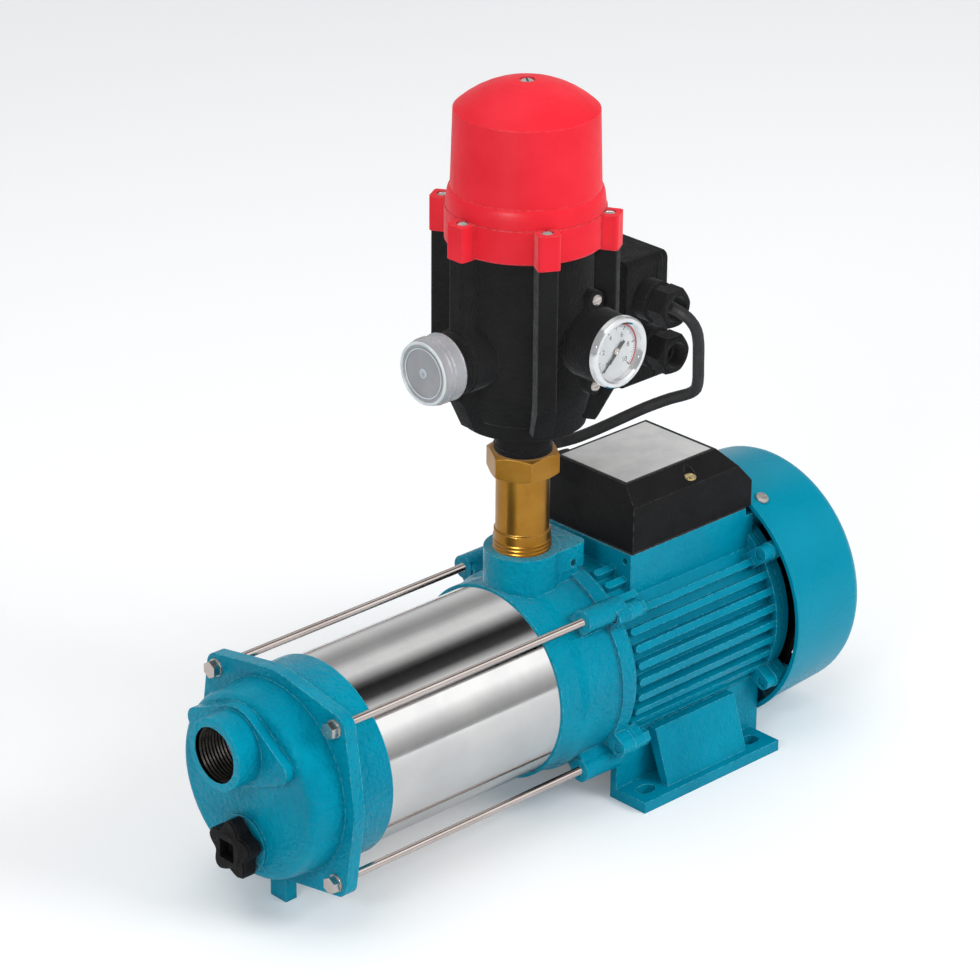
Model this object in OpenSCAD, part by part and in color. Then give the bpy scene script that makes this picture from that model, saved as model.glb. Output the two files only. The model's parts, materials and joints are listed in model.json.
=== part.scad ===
// Horizontal multistage centrifugal pump with a pressure controller on its outlet.
// The shaft runs along X, the suction port looks to -X and the outlet rises along +Z.
// Origin: centre of the four foot slots, on the plane that the feet stand on.

/* [Frame] */
// Height of the shaft axis above the feet
shaft_h = 80; // [78:1:90]
// Distance from the outlet axis back to the centre of the foot slots
foot_reach = 90; // [88:1:94]

/* [Tie rods] */
// Distance between the tie rods across the pump
tie_w = 100; // [98:1:104]
// Distance between the upper and lower tie rods
tie_h = 97; // [95:1:101]
// Diameter of a tie rod
rod_d = 4.8; // [4.4:0.2:5.6]
// Width across flats of the rod heads
rod_head_af = 9; // [8.5:0.5:11]
// Height of the rod heads
rod_head_h = 4.5; // [3:0.5:6]
// Thickness of the washers under the heads
washer_t = 1.2; // [0.8:0.2:2]
// Width of the washers past the rod head
washer_lip = 0.8; // [0.4:0.2:1.4]
// Length of thread held in the bracket
rod_grip = 16; // [12:1:20]

/* [Barrel] */
// Outer diameter of the stainless barrel
barrel_d = 115; // [112:1:117]
// Thickness of the barrel sheet
barrel_wall = 1.5; // [1:0.25:2]
// Length of barrel that shows between the castings
barrel_view = 132; // [126:1:140]
// Depth that each end of the barrel sits in its casting
barrel_seat = 9; // [7:1:11]
// Thickness of the gasket at each end of the barrel
gasket_t = 1.5; // [1:0.5:2]

/* [Suction cover] */
// Wall of the collar over the barrel
collar_wall = 2.4; // [2:0.2:4]
// Length of the collar behind the flange
collar_len = 26; // [22:1:30]
// Thickness of the flange
flange_t = 8; // [6:1:10]
// Diameter of the flange between its ears
flange_d = 130; // [127:1:134]
// Radius of the flange ears round the tie rods
ear_lobe_r = 8.4; // [8:0.2:10]
// Diameter of the raised drum where it meets the flange
drum_d = 116; // [110:1:118]
// Length of the drum
drum_len = 22; // [20:1:24]
// Wall of the suction chamber
cover_wall = 6; // [5:0.5:8]
// Diameter of the suction thread in its bore
port_bore_d = 33.2; // [30:0.2:35]
// Outer diameter of the suction port
port_d = 43; // [41:0.5:46]
// Length of the port past its pad
port_reach = 16; // [14:0.5:19]
// Rise of the port above the shaft
port_rise = 28.4; // [26:0.2:30]
// Distance between the two ears of the port pad
pad_span = 70; // [66:1:74]
// Radius of the pad ears
pad_ear_r = 7; // [5.5:0.5:8]
// Thickness of the pad
pad_t = 6.5; // [5:0.5:9]
// Tilt of the pad in degrees
pad_tilt = 5; // [0:1:10]
// Width of the support tab under the flange
tab_w = 13.2; // [10:0.2:18]

/* [Drain plug] */
// Drop of the drain hole below the shaft
drain_drop = 34.6; // [33:0.2:36]
// Diameter of the plug's thread
drain_d = 13; // [11:0.5:14]
// Diameter of the round boss behind the plug
drain_boss_d = 34; // [31:1:36]
// Height of that boss over the drum
drain_boss_h = 2.2; // [1.6:0.2:3]
// Diameter over the lobes of the grip
grip_d = 36; // [34:1:40]
// Number of lobes
grip_lobes = 5; // [5:1:8]
// Thickness of the grip
grip_t = 11.5; // [9:0.5:14]
// Side of the square socket in the grip
socket_w = 12; // [10:0.5:13]

/* [Stages] */
// Outer diameter of the impellers
impeller_d = 92; // [86:1:94]
// Width of an impeller from shroud to shroud
impeller_w = 10; // [9:0.5:11]
// Diameter of an impeller's suction eye
eye_d = 34; // [32:0.5:36]
// Number of blades in an impeller
blade_count = 6; // [5:1:7]
// Number of return vanes in a stage casing
vane_count = 8; // [6:1:9]
// Thickness of the moulded walls
mould_t = 2.2; // [1.8:0.1:2.6]

/* [Shaft] */
// Diameter of the shaft at the impellers
shaft_d = 14; // [13:0.5:15]
// Bore of the two ball bearings
journal_d = 17; // [16.5:0.5:18]
// Outer diameter of the bearings
bearing_d = 40; // [38:1:42]
// Width of the bearings
bearing_w = 12; // [11:0.5:13]

/* [Discharge bracket] */
// Reach of the bracket in front of the outlet axis
bracket_reach = 24; // [23:1:26]
// Distance from the outlet axis back to the motor
bracket_back = 31.5; // [30.5:0.5:33]
// Diameter of the bracket behind the barrel
bracket_d = 124; // [123:1:128]
// Diameter of the rim that meets the motor
rim_d = 128; // [126:1:132]
// Width of that rim
rim_w = 10; // [8:0.5:12]
// Height of the outlet boss above the shaft
boss_rise = 80.4; // [78:0.2:84]
// Diameter of the outlet boss
boss_d = 45; // [43:0.5:48]
// Width of the shoulder behind the outlet boss
shoulder_w = 40; // [36:1:42]
// Radius of the bosses that hold the tie rods
rod_boss_r = 7.2; // [6:0.2:8]

/* [Motor frame] */
// Length of the motor frame
frame_len = 126; // [126:1:130]
// Outer diameter of the frame between its ribs
frame_d = 115; // [113:1:118]
// Wall of the frame
frame_wall = 5.5; // [5:0.5:6.5]
// Height of the ribs
rib_h = 6; // [5:0.5:7]
// Thickness of the ribs
rib_t = 4.4; // [3.5:0.1:5]
// Number of ribs on each side
rib_count = 9; // [8:1:9]
// Lowest side rib in degrees from level
rib_low = -37; // [-40:1:-34]
// Highest side rib in degrees from level
rib_high = 39; // [36:1:40]
// Number of ribs under the frame
belly_rib_count = 5; // [4:1:6]
// Radius of the circle of frame screws
lug_circle_r = 71; // [70.5:0.5:71.5]
// Angle of the lower frame screws below the shaft
lug_low_lean = 32; // [31:1:34]
// Angle of the upper frame screws above the shaft
lug_high_lean = 40; // [39:1:41]
// Radius of the lugs round those screws
lug_r = 5.6; // [5.2:0.2:5.8]
// Diameter of the frame screws
lug_screw_d = 6; // [5:0.5:6]

/* [Feet] */
// Distance between the foot slots along the shaft
slot_pitch_x = 90; // [88:1:92]
// Distance between the foot slots across the shaft
slot_pitch_y = 122.4; // [120:0.4:125]
// Diameter of the foot slots
slot_d = 9; // [8:0.5:10]
// End to end length of the foot slots
slot_len = 13; // [12:0.5:15]
// Length of the feet
foot_len = 116; // [114:1:120]
// Width of a foot
foot_w = 29; // [27:1:31]
// Thickness of a foot's plate
foot_t = 7; // [6:0.5:9]
// Length of the outer wall of a foot
foot_wall_len = 67.5; // [62:0.5:70]
// Thickness of the walls of a foot
foot_wall_t = 5; // [4:0.5:6]

/* [Terminal box] */
// Length of the terminal box
tbox_len = 101; // [98:1:101]
// Width of the terminal box
tbox_w = 76; // [74:1:80]
// Height of the terminal box over its gasket
tbox_h = 41; // [39:0.5:44]
// Wall of the terminal box
tbox_wall = 2.5; // [2:0.1:3]
// Height of the box pad above the shaft
boxpad_rise = 69.5; // [68:0.5:71]
// Distance from the motor's front to the box pad
boxpad_start = 20.5; // [19:0.5:20.5]
// Thickness of the gasket under the box
box_gasket_t = 1; // [0.8:0.1:1.5]

/* [Fan and cover] */
// Diameter of the fan cover at its open rim
fancover_d = 157; // [154:1:160]
// Taper of the fan cover, in its diameter
fancover_taper = 5; // [3:0.5:7]
// Length of the fan cover
fancover_len = 62.5; // [60:0.5:66]
// Thickness of the fan cover sheet
fancover_t = 1.4; // [1.2:0.1:2]
// How far the cover's mouth laps over the rear of the frame
fancover_lap = 2.5; // [1:0.5:2.5]
// Rounding at the closed end
fancover_round = 9; // [7:0.5:11]
// Gap between the fan blades and the fan cover
fan_gap = 10.6; // [8:0.2:14]
// Number of fan blades
fan_blades = 8; // [6:1:10]

/* [Adapter] */
// Diameter of the pipe thread, also the adapter's tube
pipe_d = 33.2; // [31:0.2:34]
// Bore of the adapter
adapter_bore_d = 25; // [23:0.5:27]
// Length of the adapter's thread in the bracket
thread_hold = 14; // [12:0.5:16]
// Length of the adapter from the boss to its hexagon
adapter_rise = 48; // [44:0.5:52]
// Height of the adapter's hexagon
adapter_hex_h = 14; // [12:0.5:16]
// Width across flats of that hexagon
adapter_af = 38; // [37:0.5:41]

/* [Pressure controller] */
// Gap between the adapter's hexagon and the controller body
neck_view = 14.6; // [12:0.2:17]
// Depth of the controller's neck in the adapter
neck_hold = 11; // [9:0.5:12]
// Diameter of the controller body
body_d = 84; // [82:0.5:86]
// Height of the controller body
body_h = 115; // [112:0.5:118]
// Height of the tapered foot of the body
taper_h = 30; // [27:0.5:32]
// Wall of the controller body
body_wall = 4; // [3.5:0.1:4.5]
// Radius of the circle of cap screws
cap_screw_r = 48.5; // [47.5:0.1:49.5]
// Radius of the posts under those screws
post_r = 5.6; // [5:0.1:6]
// Height of the outlet axis above the foot of the body
outlet_up = 54; // [52:0.5:57]
// Length of the outlet boss past the body
outlet_boss = 12; // [9:0.5:13]
// Length of the outlet thread past its boss
outlet_reach = 22.6; // [21:0.2:26]
// Outer diameter of the outlet's protective cap
outcap_d = 39.4; // [38:0.2:41]
// Length of the outlet's protective cap
outcap_len = 15.5; // [14:0.5:17]

/* [Controller cap] */
// Diameter of the cap's flange
capflange_d = 91.6; // [90:0.2:93]
// Height of the cap's flange
capflange_h = 20.5; // [18.5:0.5:23]
// Diameter of the cap where it leaves its flange
cap_low_d = 85.4; // [83:0.2:87]
// Diameter of the cap under its dome
cap_top_d = 80.6; // [78:0.2:83]
// Height of the cap from its flange to the dome
cap_h = 57; // [54:0.5:61]
// Height of the dome
dome_h = 15.5; // [13:0.5:18]
// Wall of the cap
cap_wall = 2.6; // [2:0.1:3]

/* [Gauge] */
// Diameter of the gauge bezel
gauge_d = 42; // [41:0.5:43]
// Sideways place of the gauge from the outlet axis
gauge_x = 10; // [9:0.5:11]
// Height of the gauge above the foot of the body
gauge_up = 62; // [60:0.5:63]
// Distance from the outlet axis to the gauge's back
gauge_back = 42; // [41.5:0.5:43]
// Depth of the gauge case
gauge_depth = 21; // [19:0.5:23]
// Depth of the bezel
bezel_depth = 4.2; // [3.8:0.2:5]
// Distance of the case screws above and below the gauge axis
gauge_screw_up = 26; // [25.5:0.5:27.5]

/* [Control box] */
// Distance from the outlet axis to the back of the control box
cbox_back = 43; // [42.5:0.5:44]
// Depth of the control box
cbox_depth = 28; // [26:0.5:30]
// Thickness of the control box cover
cbox_lid_t = 4; // [3:0.5:5]
// Width of the control box
cbox_w = 78; // [76:1:80]
// Height of the control box
cbox_h = 77; // [75:1:79]
// Height of its lower edge above the foot of the body
cbox_up = 21; // [20:0.5:23]
// Wall of the control box
cbox_wall = 2.5; // [2:0.1:3]
// Distance between the two cable glands
gland_pitch = 28; // [27:0.5:30]
// Width across flats of the gland nuts
gland_af = 21.6; // [20:0.2:23]
// Length of a gland past its collar
gland_len = 15; // [13:0.5:17]
// Diameter of the restart button
button_d = 12; // [10:0.5:14]
// Travel of the restart button
button_travel = 2.5; // [1.5:0.5:3]

/* [Lead] */
// Diameter of the lead from the controller to the motor
lead_d = 6.8; // [6.4:0.2:7]

/* [Hidden] */
$fn = 96;

// Overrun of every cut
over = 0.5;
// Clearance of pieces that are slipped together
slip = 0.15;
// Radial clearance of running fits
run = 0.06;
// Gap between turning and fixed pieces
air = 0.6;
// Small edge break
edge = 1;

// Stations along the shaft, measured from the outlet axis
bracket_front = -bracket_reach;
barrel_rear = bracket_front + barrel_seat;
collar_end = bracket_front - barrel_view;
barrel_front = collar_end - barrel_seat;
flange_back = collar_end - collar_len;
flange_front = flange_back - flange_t;
drum_front = flange_front - drum_len;
pad_front = drum_front - pad_t;
port_face = pad_front - port_reach;
drain_face = drum_front - drain_boss_h;
frame_front = bracket_back;
frame_rear = frame_front + frame_len;
tie_half = tie_w / 2;
tie_rise = tie_h / 2;
drain_stem = 11;
plug_seal_t = 1.6;

// Barrel and what it holds
barrel_r = barrel_d / 2;
barrel_in_r = barrel_r - barrel_wall;
collar_r = barrel_r + collar_wall;
spigot_len = 5;
spigot_r = barrel_in_r - slip;
stack_front = barrel_front + spigot_len;
stack_rear = barrel_rear - spigot_len;
stage_count = 5;
stage_pitch = (stack_rear - stack_front) / stage_count;
casing_r = barrel_in_r - slip;
casing_rim = 2.6;
eye_r = eye_d / 2;
impeller_r = impeller_d / 2;
hub_wall = 2.4;
hub_r = shaft_d / 2 + hub_wall;
impeller_lead = 1.6;
chamber_depth = impeller_lead + impeller_w + air;
chamber_r = 40;
eye_wall = 12;
blade_t = 1.8;
sweep_share = 0.62;
sweep_centre_shares = [0.8, 0.6];

// Shaft, seal and bearings
shaft_r = shaft_d / 2;
journal_r = journal_d / 2;
bearing_r = bearing_d / 2;
bearing_wall = 6;
bearing_hub_r = bearing_r + bearing_wall;
seal_wall = 6;
seal_r = shaft_r + seal_wall;
seal_hub_wall = 5;
seal_hub_r = seal_r + seal_hub_wall;
seal_seat_w = 8;
seal_gap = 9.5;
seal_back = bracket_back - bearing_w - seal_gap;
seal_front = seal_back - seal_seat_w;
bracket_wall = 10;
wall_front = seal_front + bracket_wall;
wall_back = bracket_back - bearing_w + edge;
shaft_hole_r = journal_r + air;
outlet_chamber_r = 50;
rotor_shaft_r = 11;
nut_h = 9;

// Motor
frame_r = frame_d / 2;
frame_in_r = frame_r - frame_wall;
rim_r = rim_d / 2;
shield_t = 8;
shield_back = frame_rear + shield_t;
core_len = 62;
core_setback = 27;
core_front = frame_front + core_setback;
core_back = core_front + core_len;
core_bore_r = 28;
winding_len = 14;
bearing_setback = 3;
rear_bearing_front = frame_rear - bearing_setback;
cover_front = frame_rear - fancover_lap;
cover_back = cover_front + fancover_len;
cover_front_r = fancover_d / 2;
cover_back_r = cover_front_r - fancover_taper / 2;
cover_arm_tilt = 27;
cover_screw_past = 9;
cover_screw_x = frame_rear + cover_screw_past;
cover_screw_r = 2;
fan_setback = 16;
fan_front = frame_rear + fan_setback;
fan_hub_len = 20;
fan_r = cover_back_r - fancover_t - fan_gap;
shaft_proud = 4;
shaft_end = fan_front + fan_hub_len + shaft_proud;
belly_low = -118;
belly_high = -62;
front_lug = 9;
rear_lug = 12;
shield_flange_t = 6;

// Box pad and terminal box
boxpad_front = frame_front + boxpad_start;
boxpad_short = 3;
boxpad_len = tbox_len - boxpad_short;
tbox_front = boxpad_front + boxpad_short / 2;
tbox_back = tbox_front + tbox_len;
tbox_floor = boxpad_rise + box_gasket_t;
tbox_top = tbox_floor + tbox_h;
tbox_half = tbox_w / 2;
tbox_shoulder = 11.8;
tbox_bevel = 9;
tbox_slope_run = 23;
tbox_slope_drop = 24.5;
box_screw_x = tbox_front + tbox_len / 2;
box_screw_in = 3.6;
box_screw_y = tbox_half - box_screw_in;
box_screw_r = 2;
box_screw_sink = 9;
box_gland_in = 27.5;
box_gland_up = 17.5;
box_gland_x = tbox_front + box_gland_in;
box_gland_z = tbox_floor + box_gland_up;

// Adapter and controller, heights above the shaft
hex_floor = boss_rise + adapter_rise;
hex_top = hex_floor + adapter_hex_h;
pipe_r = pipe_d / 2;
body_foot = hex_top + neck_view;
body_top = body_foot + body_h;
body_r = body_d / 2;
taper_in = 5;
well_r = body_r - body_wall;
outlet_z = body_foot + outlet_up;
outlet_boss_r = pipe_r + 2.2;
outlet_face = -(body_r + outlet_boss);
outlet_end = outlet_face - outlet_reach;
gauge_z = body_foot + gauge_up;
gauge_tab_r = 5.6;
gauge_tab_t = 5;
valve_seat_up = 23;
valve_seat_z = body_foot + valve_seat_up;
valve_bore_r = 11;
valve_lap = 4;
guide_up = 45;
guide_z = valve_seat_z + guide_up;
guide_t = 6;
stem_r = 3;
valve_t = 5;
cap_floor = body_top;
cap_ledge = cap_floor + capflange_h;
cap_rim = cap_ledge + cap_h;
cap_peak = cap_rim + dome_h;
membrane_t = 2;
lug_half = 6.5;
lug_round = 2;
cap_screw_shank_r = 2;
peak_sink = 2.4;
cbox_front = cbox_back + cbox_depth;
cbox_low = body_foot + cbox_up;
cbox_half = cbox_w / 2;
cbox_round = 4;
gland_in = 11;
gland_up = 52;
gland_x = cbox_front - gland_in;
gland_high = cbox_low + gland_up;
gland_collar_lip = 1.4;
gland_collar_r = gland_af / 2 + gland_collar_lip;
gland_collar_h = 8;
gland_bore_share = 0.35;
gland_bore_r = gland_af * gland_bore_share;
gland_stem = 5;
button_share = 0.4;
button_z = cbox_low + cbox_h * button_share;
button_deep = 6;
button_y = 12;
button_rest = 0.7;
button_proud = button_travel + button_rest;

// Moves a piece from the outlet axis and shaft axis to its place over the feet
module place() {
    translate([-foot_reach, 0, shaft_h])
        children();
}

// Solid of revolution about the shaft axis from [x, radius] points
module turned(points) {
    rotate([0, 90, 0])
        rotate_extrude()
            polygon([for (p = points) [p[1], p[0]]]);
}

// Solid of revolution about the Z axis from [radius, z] points
module spun(points) {
    rotate_extrude()
        polygon(points);
}

// Round bar along X
module bar_x(r, x0, x1) {
    translate([x0, 0, 0])
        rotate([0, 90, 0])
            cylinder(r = r, h = x1 - x0);
}

// Round bar along Y
module bar_y(r, y0, y1) {
    translate([0, y1, 0])
        rotate([90, 0, 0])
            cylinder(r = r, h = y1 - y0);
}

// Round bar along Z
module bar_z(r, z0, z1) {
    translate([0, 0, z0])
        cylinder(r = r, h = z1 - z0);
}

// Ring along X
module ring_x(r_out, r_in, x0, x1) {
    difference() {
        bar_x(r_out, x0, x1);
        bar_x(r_in, x0 - over, x1 + over);
    }
}

// Box from two opposite corners
module block(a, b) {
    translate(a)
        cube(b - a);
}

// Points of a quarter round from angle a0 to a1 about a centre
function bend(c, r, a0, a1, n = 6) = [for (i = [0:n]) let (a = a0 + (a1 - a0) * i / n) c + r * [cos(a), sin(a)]];

// Points of a rectangle with round corners, its lowest corner at the origin
function rounded(w, h, r) = concat(
    bend([w - r, h - r], r, 0, 90), bend([r, h - r], r, 90, 180), bend([r, r], r, 180, 270), bend([w - r, r], r, 270, 360)
);

// Copies its child to the four tie rods
module at_rods() {
    for (sy = [-1, 1], sz = [-1, 1])
        translate([0, sy * tie_half, sz * tie_rise])
            children();
}

// Copies its child to the four frame screws
module at_lugs() {
    for (s = [0, 1], a = [-lug_low_lean, lug_high_lean])
        mirror([0, s, 0])
            rotate([a, 0, 0])
                translate([0, lug_circle_r, 0])
                    children();
}

// Outline drawn in Y and Z, made solid between x0 and x1
module plate_x(x0, x1) {
    translate([x0, 0, 0])
        rotate([90, 0, 90])
            linear_extrude(x1 - x0)
                children();
}

// Round flange with a lobe round each frame screw
module lobed_flange(r, lobe) {
    circle(r = r);
    for (s = [0, 1], a = [-lug_low_lean, lug_high_lean])
        mirror([s, 0, 0])
            rotate(a) {
                translate([0, slip - lobe])
                    square([lug_circle_r, 2 * (lobe - slip)]);
                translate([lug_circle_r, 0])
                    circle(r = lobe);
            }
}

// Flat arm along a radius, from the axis out to reach, between x0 and x1
module arm(y, z, reach, width, x0, x1) {
    rotate([atan2(z, y), 0, 0])
        block([x0, 0, -width / 2], [x1, reach, width / 2]);
}

// Copies its child to the four screws of the fan cover, out along Z
module at_cover_screws() {
    for (s = [-1, 1], t = [0, 180])
        rotate([s * cover_arm_tilt + t, 0, 0])
            children();
}

// Outline of a round plate with two opposite ears, joined by tangents
module pad_outline(r_mid, r_ear, half) {
    lean = acos((r_mid - r_ear) / half);
    circle(r = r_mid);
    for (s = [-1, 1]) {
        translate([0, s * half])
            circle(r = r_ear);
        polygon([
            [r_mid * sin(lean), s * r_mid * cos(lean)],
            [r_ear * sin(lean), s * (half + r_ear * cos(lean))],
            [-r_ear * sin(lean), s * (half + r_ear * cos(lean))],
            [-r_mid * sin(lean), s * r_mid * cos(lean)]
        ]);
    }
}

// Cast cover with the suction port
module suction_cover() {
    drum_r = drum_d / 2;
    drum_lip = 2;
    drum_front_r = drum_r - drum_lip;
    drum_round = 5;
    port_r = port_d / 2;
    pad_lip = 2.5;
    chamber_front = drum_front + cover_wall;
    chamber_back = stack_front - eye_wall;
    seat_floor = barrel_front - gasket_t;
    port_deep = 3;
    stub_r = 3.6;
    stub_gap = 9;
    color("#1093ad") place() difference() {
        union() {
            turned(concat(
                [[drum_front, 0]],
                bend([drum_front + drum_round, drum_front_r - drum_round], drum_round, 180, 90),
                [
                    [flange_front + edge, drum_r], [flange_front + edge, collar_r], [collar_end, collar_r],
                    [collar_end, barrel_r + slip], [seat_floor, barrel_r + slip],
                    [seat_floor, spigot_r], [stack_front, spigot_r],
                    [stack_front, eye_r], [chamber_back, eye_r],
                    [chamber_back, chamber_r], [chamber_front, chamber_r],
                    [chamber_front, 0]
                ]
            ));
            plate_x(flange_front, flange_back) {
                for (s = [-1, 1])
                    rotate(s * atan2(tie_half, tie_rise))
                        pad_outline(flange_d / 2, ear_lobe_r, norm([tie_half, tie_rise]));
                translate([-tab_w / 2, -shaft_h])
                    square([tab_w, shaft_h - collar_r]);
            }
            translate([0, 0, port_rise])
                turned(concat(
                    [[port_face, 0]],
                    bend([port_face + edge, port_r - edge], edge, 180, 90),
                    [[chamber_front, port_r], [chamber_front, 0]]
                ));
            translate([drum_front, 0, port_rise])
                rotate([pad_tilt, 0, 0])
                    rotate([0, -90, 0])
                        linear_extrude(pad_t)
                            pad_outline(port_r + pad_lip, pad_ear_r, pad_span / 2);
            translate([0, 0, -drain_drop])
                bar_x(drain_boss_d / 2, drain_face, chamber_front);
        }
        bar_x(chamber_r, chamber_front, chamber_back);
        bar_x(eye_r, chamber_back - over, stack_front + over);
        translate([0, 0, port_rise])
            bar_x(port_bore_d / 2, port_face - over, chamber_front + port_deep);
        translate([0, 0, -drain_drop])
            bar_x(drain_d / 2 + run, drain_face - over, drain_face + drain_stem + edge);
        at_rods()
            bar_x(rod_d / 2 + 2 * slip, flange_front - over, flange_back + over);
    }
    color("#1093ad") place()
        translate([0, 0, port_rise])
            bar_x(stub_r, chamber_front + stub_gap, chamber_back + edge);
}

// Plug with a lobed grip, screwed into the drain
module drain_plug() {
    back = drain_face - plug_seal_t;
    front = back - grip_t;
    wave = 2.6;
    brim = 3;
    socket_depth = 7;
    grip_mid_r = grip_d / 2 - wave;
    wave_step = 5;
    module grip(x0, x1, inset)
        plate_x(x0, x1)
            polygon([
                for (a = [0:wave_step:360 - wave_step])
                    (grip_mid_r - inset + wave * cos(grip_lobes * (a - 90))) * [cos(a), sin(a)]
            ]);
    color("#1c1c1e") place() translate([0, 0, -drain_drop]) difference() {
        union() {
            grip(front + brim, back - edge, 0);
            grip(front + brim / 2, front + brim + edge, edge);
            turned([
                [front, 0], [front, grip_mid_r - 2 * brim], [front + brim, grip_mid_r - brim],
                [back, grip_mid_r - brim], [back, drain_d / 2], [drain_face + drain_stem - edge, drain_d / 2],
                [drain_face + drain_stem, drain_d / 2 - edge], [drain_face + drain_stem, 0]
            ]);
        }
        block([front - over, -socket_w / 2, -socket_w / 2], [front + socket_depth, socket_w / 2, socket_w / 2]);
    }
}

// Ring between the drain plug and its boss
module drain_seal() {
    color("#151515") place()
        translate([0, 0, -drain_drop])
            ring_x(drain_d / 2 + 2 * plug_seal_t, drain_d / 2 + slip, drain_face - plug_seal_t, drain_face);
}

// Polished stainless barrel
module barrel() {
    color("#d4d6d8") place()
        ring_x(barrel_r, barrel_in_r, barrel_front, barrel_rear);
}

// Flat gaskets that the ends of the barrel press on
module barrel_gaskets() {
    color("#222222") place() {
        ring_x(barrel_r, barrel_in_r, barrel_front - gasket_t, barrel_front);
        ring_x(barrel_r, barrel_in_r, barrel_rear, barrel_rear + gasket_t);
    }
}

// Long screws that hold the barrel between the castings
module tie_rods() {
    head_face = flange_front - washer_t;
    color("#c9ccd0") place() at_rods() union() {
        bar_x(rod_d / 2, head_face - edge, rod_grip);
        translate([head_face - rod_head_h, 0, 0])
            rotate([0, 90, 0])
                cylinder(r = rod_head_af / 2 / cos(30), h = rod_head_h, $fn = 6);
    }
}

// Washers under the heads of the tie rods
module tie_rod_washers() {
    color("#c9ccd0") place() at_rods()
        ring_x(rod_head_af / 2 + washer_lip, rod_d / 2 + slip, flange_front - washer_t, flange_front);
}

// Curved blade: a strip of a round wall between two radii, lying between x0 and x1
module blade(r_in, r_out, sweep_r, t, x0, x1) {
    intersection() {
        difference() {
            translate([0, -sweep_r * sweep_centre_shares[0], sweep_r * sweep_centre_shares[1]])
                ring_x(sweep_r + t / 2, sweep_r - t / 2, x0, x1);
            block([x0 - over, -3 * r_out, -3 * r_out], [x1 + over, 3 * r_out, 0]);
        }
        ring_x(r_out, r_in, x0 - over, x1 + over);
    }
}

// Closed impeller with back-swept blades, stage counted from the suction side
module impeller(stage) {
    lead = stack_front + stage * stage_pitch + impeller_lead;
    back = lead + impeller_w;
    next = lead + stage_pitch;
    shroud_r = eye_r - air;
    color("#c8b98a") place() {
        turned([
            [lead - mould_t, shaft_r + slip], [lead - mould_t, hub_r], [back - 2 * mould_t, hub_r],
            [back - mould_t, hub_r + mould_t], [back - mould_t, impeller_r],
            [back, impeller_r], [back, hub_r], [next - mould_t, hub_r], [next - mould_t, shaft_r + slip]
        ]);
        turned([
            [lead - 2 * mould_t, shroud_r - mould_t], [lead - 2 * mould_t, shroud_r],
            [lead, shroud_r], [lead, impeller_r], [lead + mould_t, impeller_r],
            [lead + mould_t, shroud_r], [lead, shroud_r - mould_t]
        ]);
        for (i = [0:blade_count - 1])
            rotate([360 * i / blade_count, 0, 0])
                blade(hub_r + hub_wall, impeller_r - edge / 2, impeller_r * sweep_share, blade_t,
                      lead + mould_t / 2, back - mould_t / 2);
    }
}

// Stage casing: rim, back plate with the next eye, return vanes and the wall behind the impeller
module stage_casing(stage) {
    front = stack_front + stage * stage_pitch;
    back = front + stage_pitch;
    wall_x = front + chamber_depth;
    rim_in = casing_r - casing_rim;
    wall_gap = 3.4;
    wall_r = rim_in - wall_gap;
    plate_x = back - mould_t;
    color("#d9d5c8") place() union() {
        ring_x(casing_r, rim_in, front, back);
        ring_x(rim_in + edge / 2, eye_r, plate_x, back);
        ring_x(wall_r, hub_r + air, wall_x, wall_x + mould_t);
        for (i = [0:vane_count - 1])
            rotate([360 * i / vane_count, 0, 0])
                blade(eye_r + edge, rim_in + edge / 2, rim_in * sweep_share, mould_t,
                      wall_x + mould_t / 2, plate_x + mould_t / 2);
    }
}

// Stepped shaft that carries impellers, rotor and fan
module shaft() {
    tip = stack_front - eye_wall + 2 * edge;
    step = seal_back + edge;
    color("#b9bcc0") place() turned([
        [tip, 0], [tip, shaft_r - edge], [tip + edge, shaft_r], [step, shaft_r], [step, journal_r],
        [bracket_back + edge, journal_r], [bracket_back + edge, rotor_shaft_r],
        [rear_bearing_front - 2 * edge, rotor_shaft_r], [rear_bearing_front - 2 * edge, journal_r],
        [shaft_end - edge, journal_r], [shaft_end, journal_r - edge], [shaft_end, 0]
    ]);
}

// Nut that clamps the impellers on the shaft
module impeller_nut() {
    back = stack_front + impeller_lead - mould_t;
    nut_wall = 4;
    color("#c9ccd0") place() difference() {
        translate([back - nut_h, 0, 0])
            rotate([0, 90, 0])
                cylinder(r = shaft_r + nut_wall, h = nut_h, $fn = 6);
        bar_x(shaft_r + slip, back - nut_h - over, back + over);
    }
}

// Fixed ceramic ring of the shaft seal
module seal_seat() {
    color("#e8e4da") place()
        ring_x(seal_r - slip, shaft_r + air, seal_front + 2 * edge, seal_back);
}

// Turning half of the shaft seal: bellows, spring and carbon ring in one pressed unit
module seal_head() {
    front = stack_front + stage_count * stage_pitch + impeller_lead - mould_t;
    back = seal_front + 2 * edge;
    carbon = 5;
    step = 3;
    color("#303236") place() turned([
        [front, shaft_r + slip], [front, seal_r - 2 * edge], [front + step, seal_r + edge],
        [back - carbon, seal_r + edge], [back - carbon, seal_r - 2 * edge], [back - 2 * slip, seal_r - 2 * edge],
        [back - 2 * slip, shaft_r + slip]
    ]);
}

// Round-cornered shoulder that runs back from the outlet axis to x1
module shoulder(half, x1, z0, z1) {
    corner = 5;
    translate([-corner, -half, z0])
        linear_extrude(z1 - z0)
            polygon(rounded(x1 + corner, 2 * half, corner));
}

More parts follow.
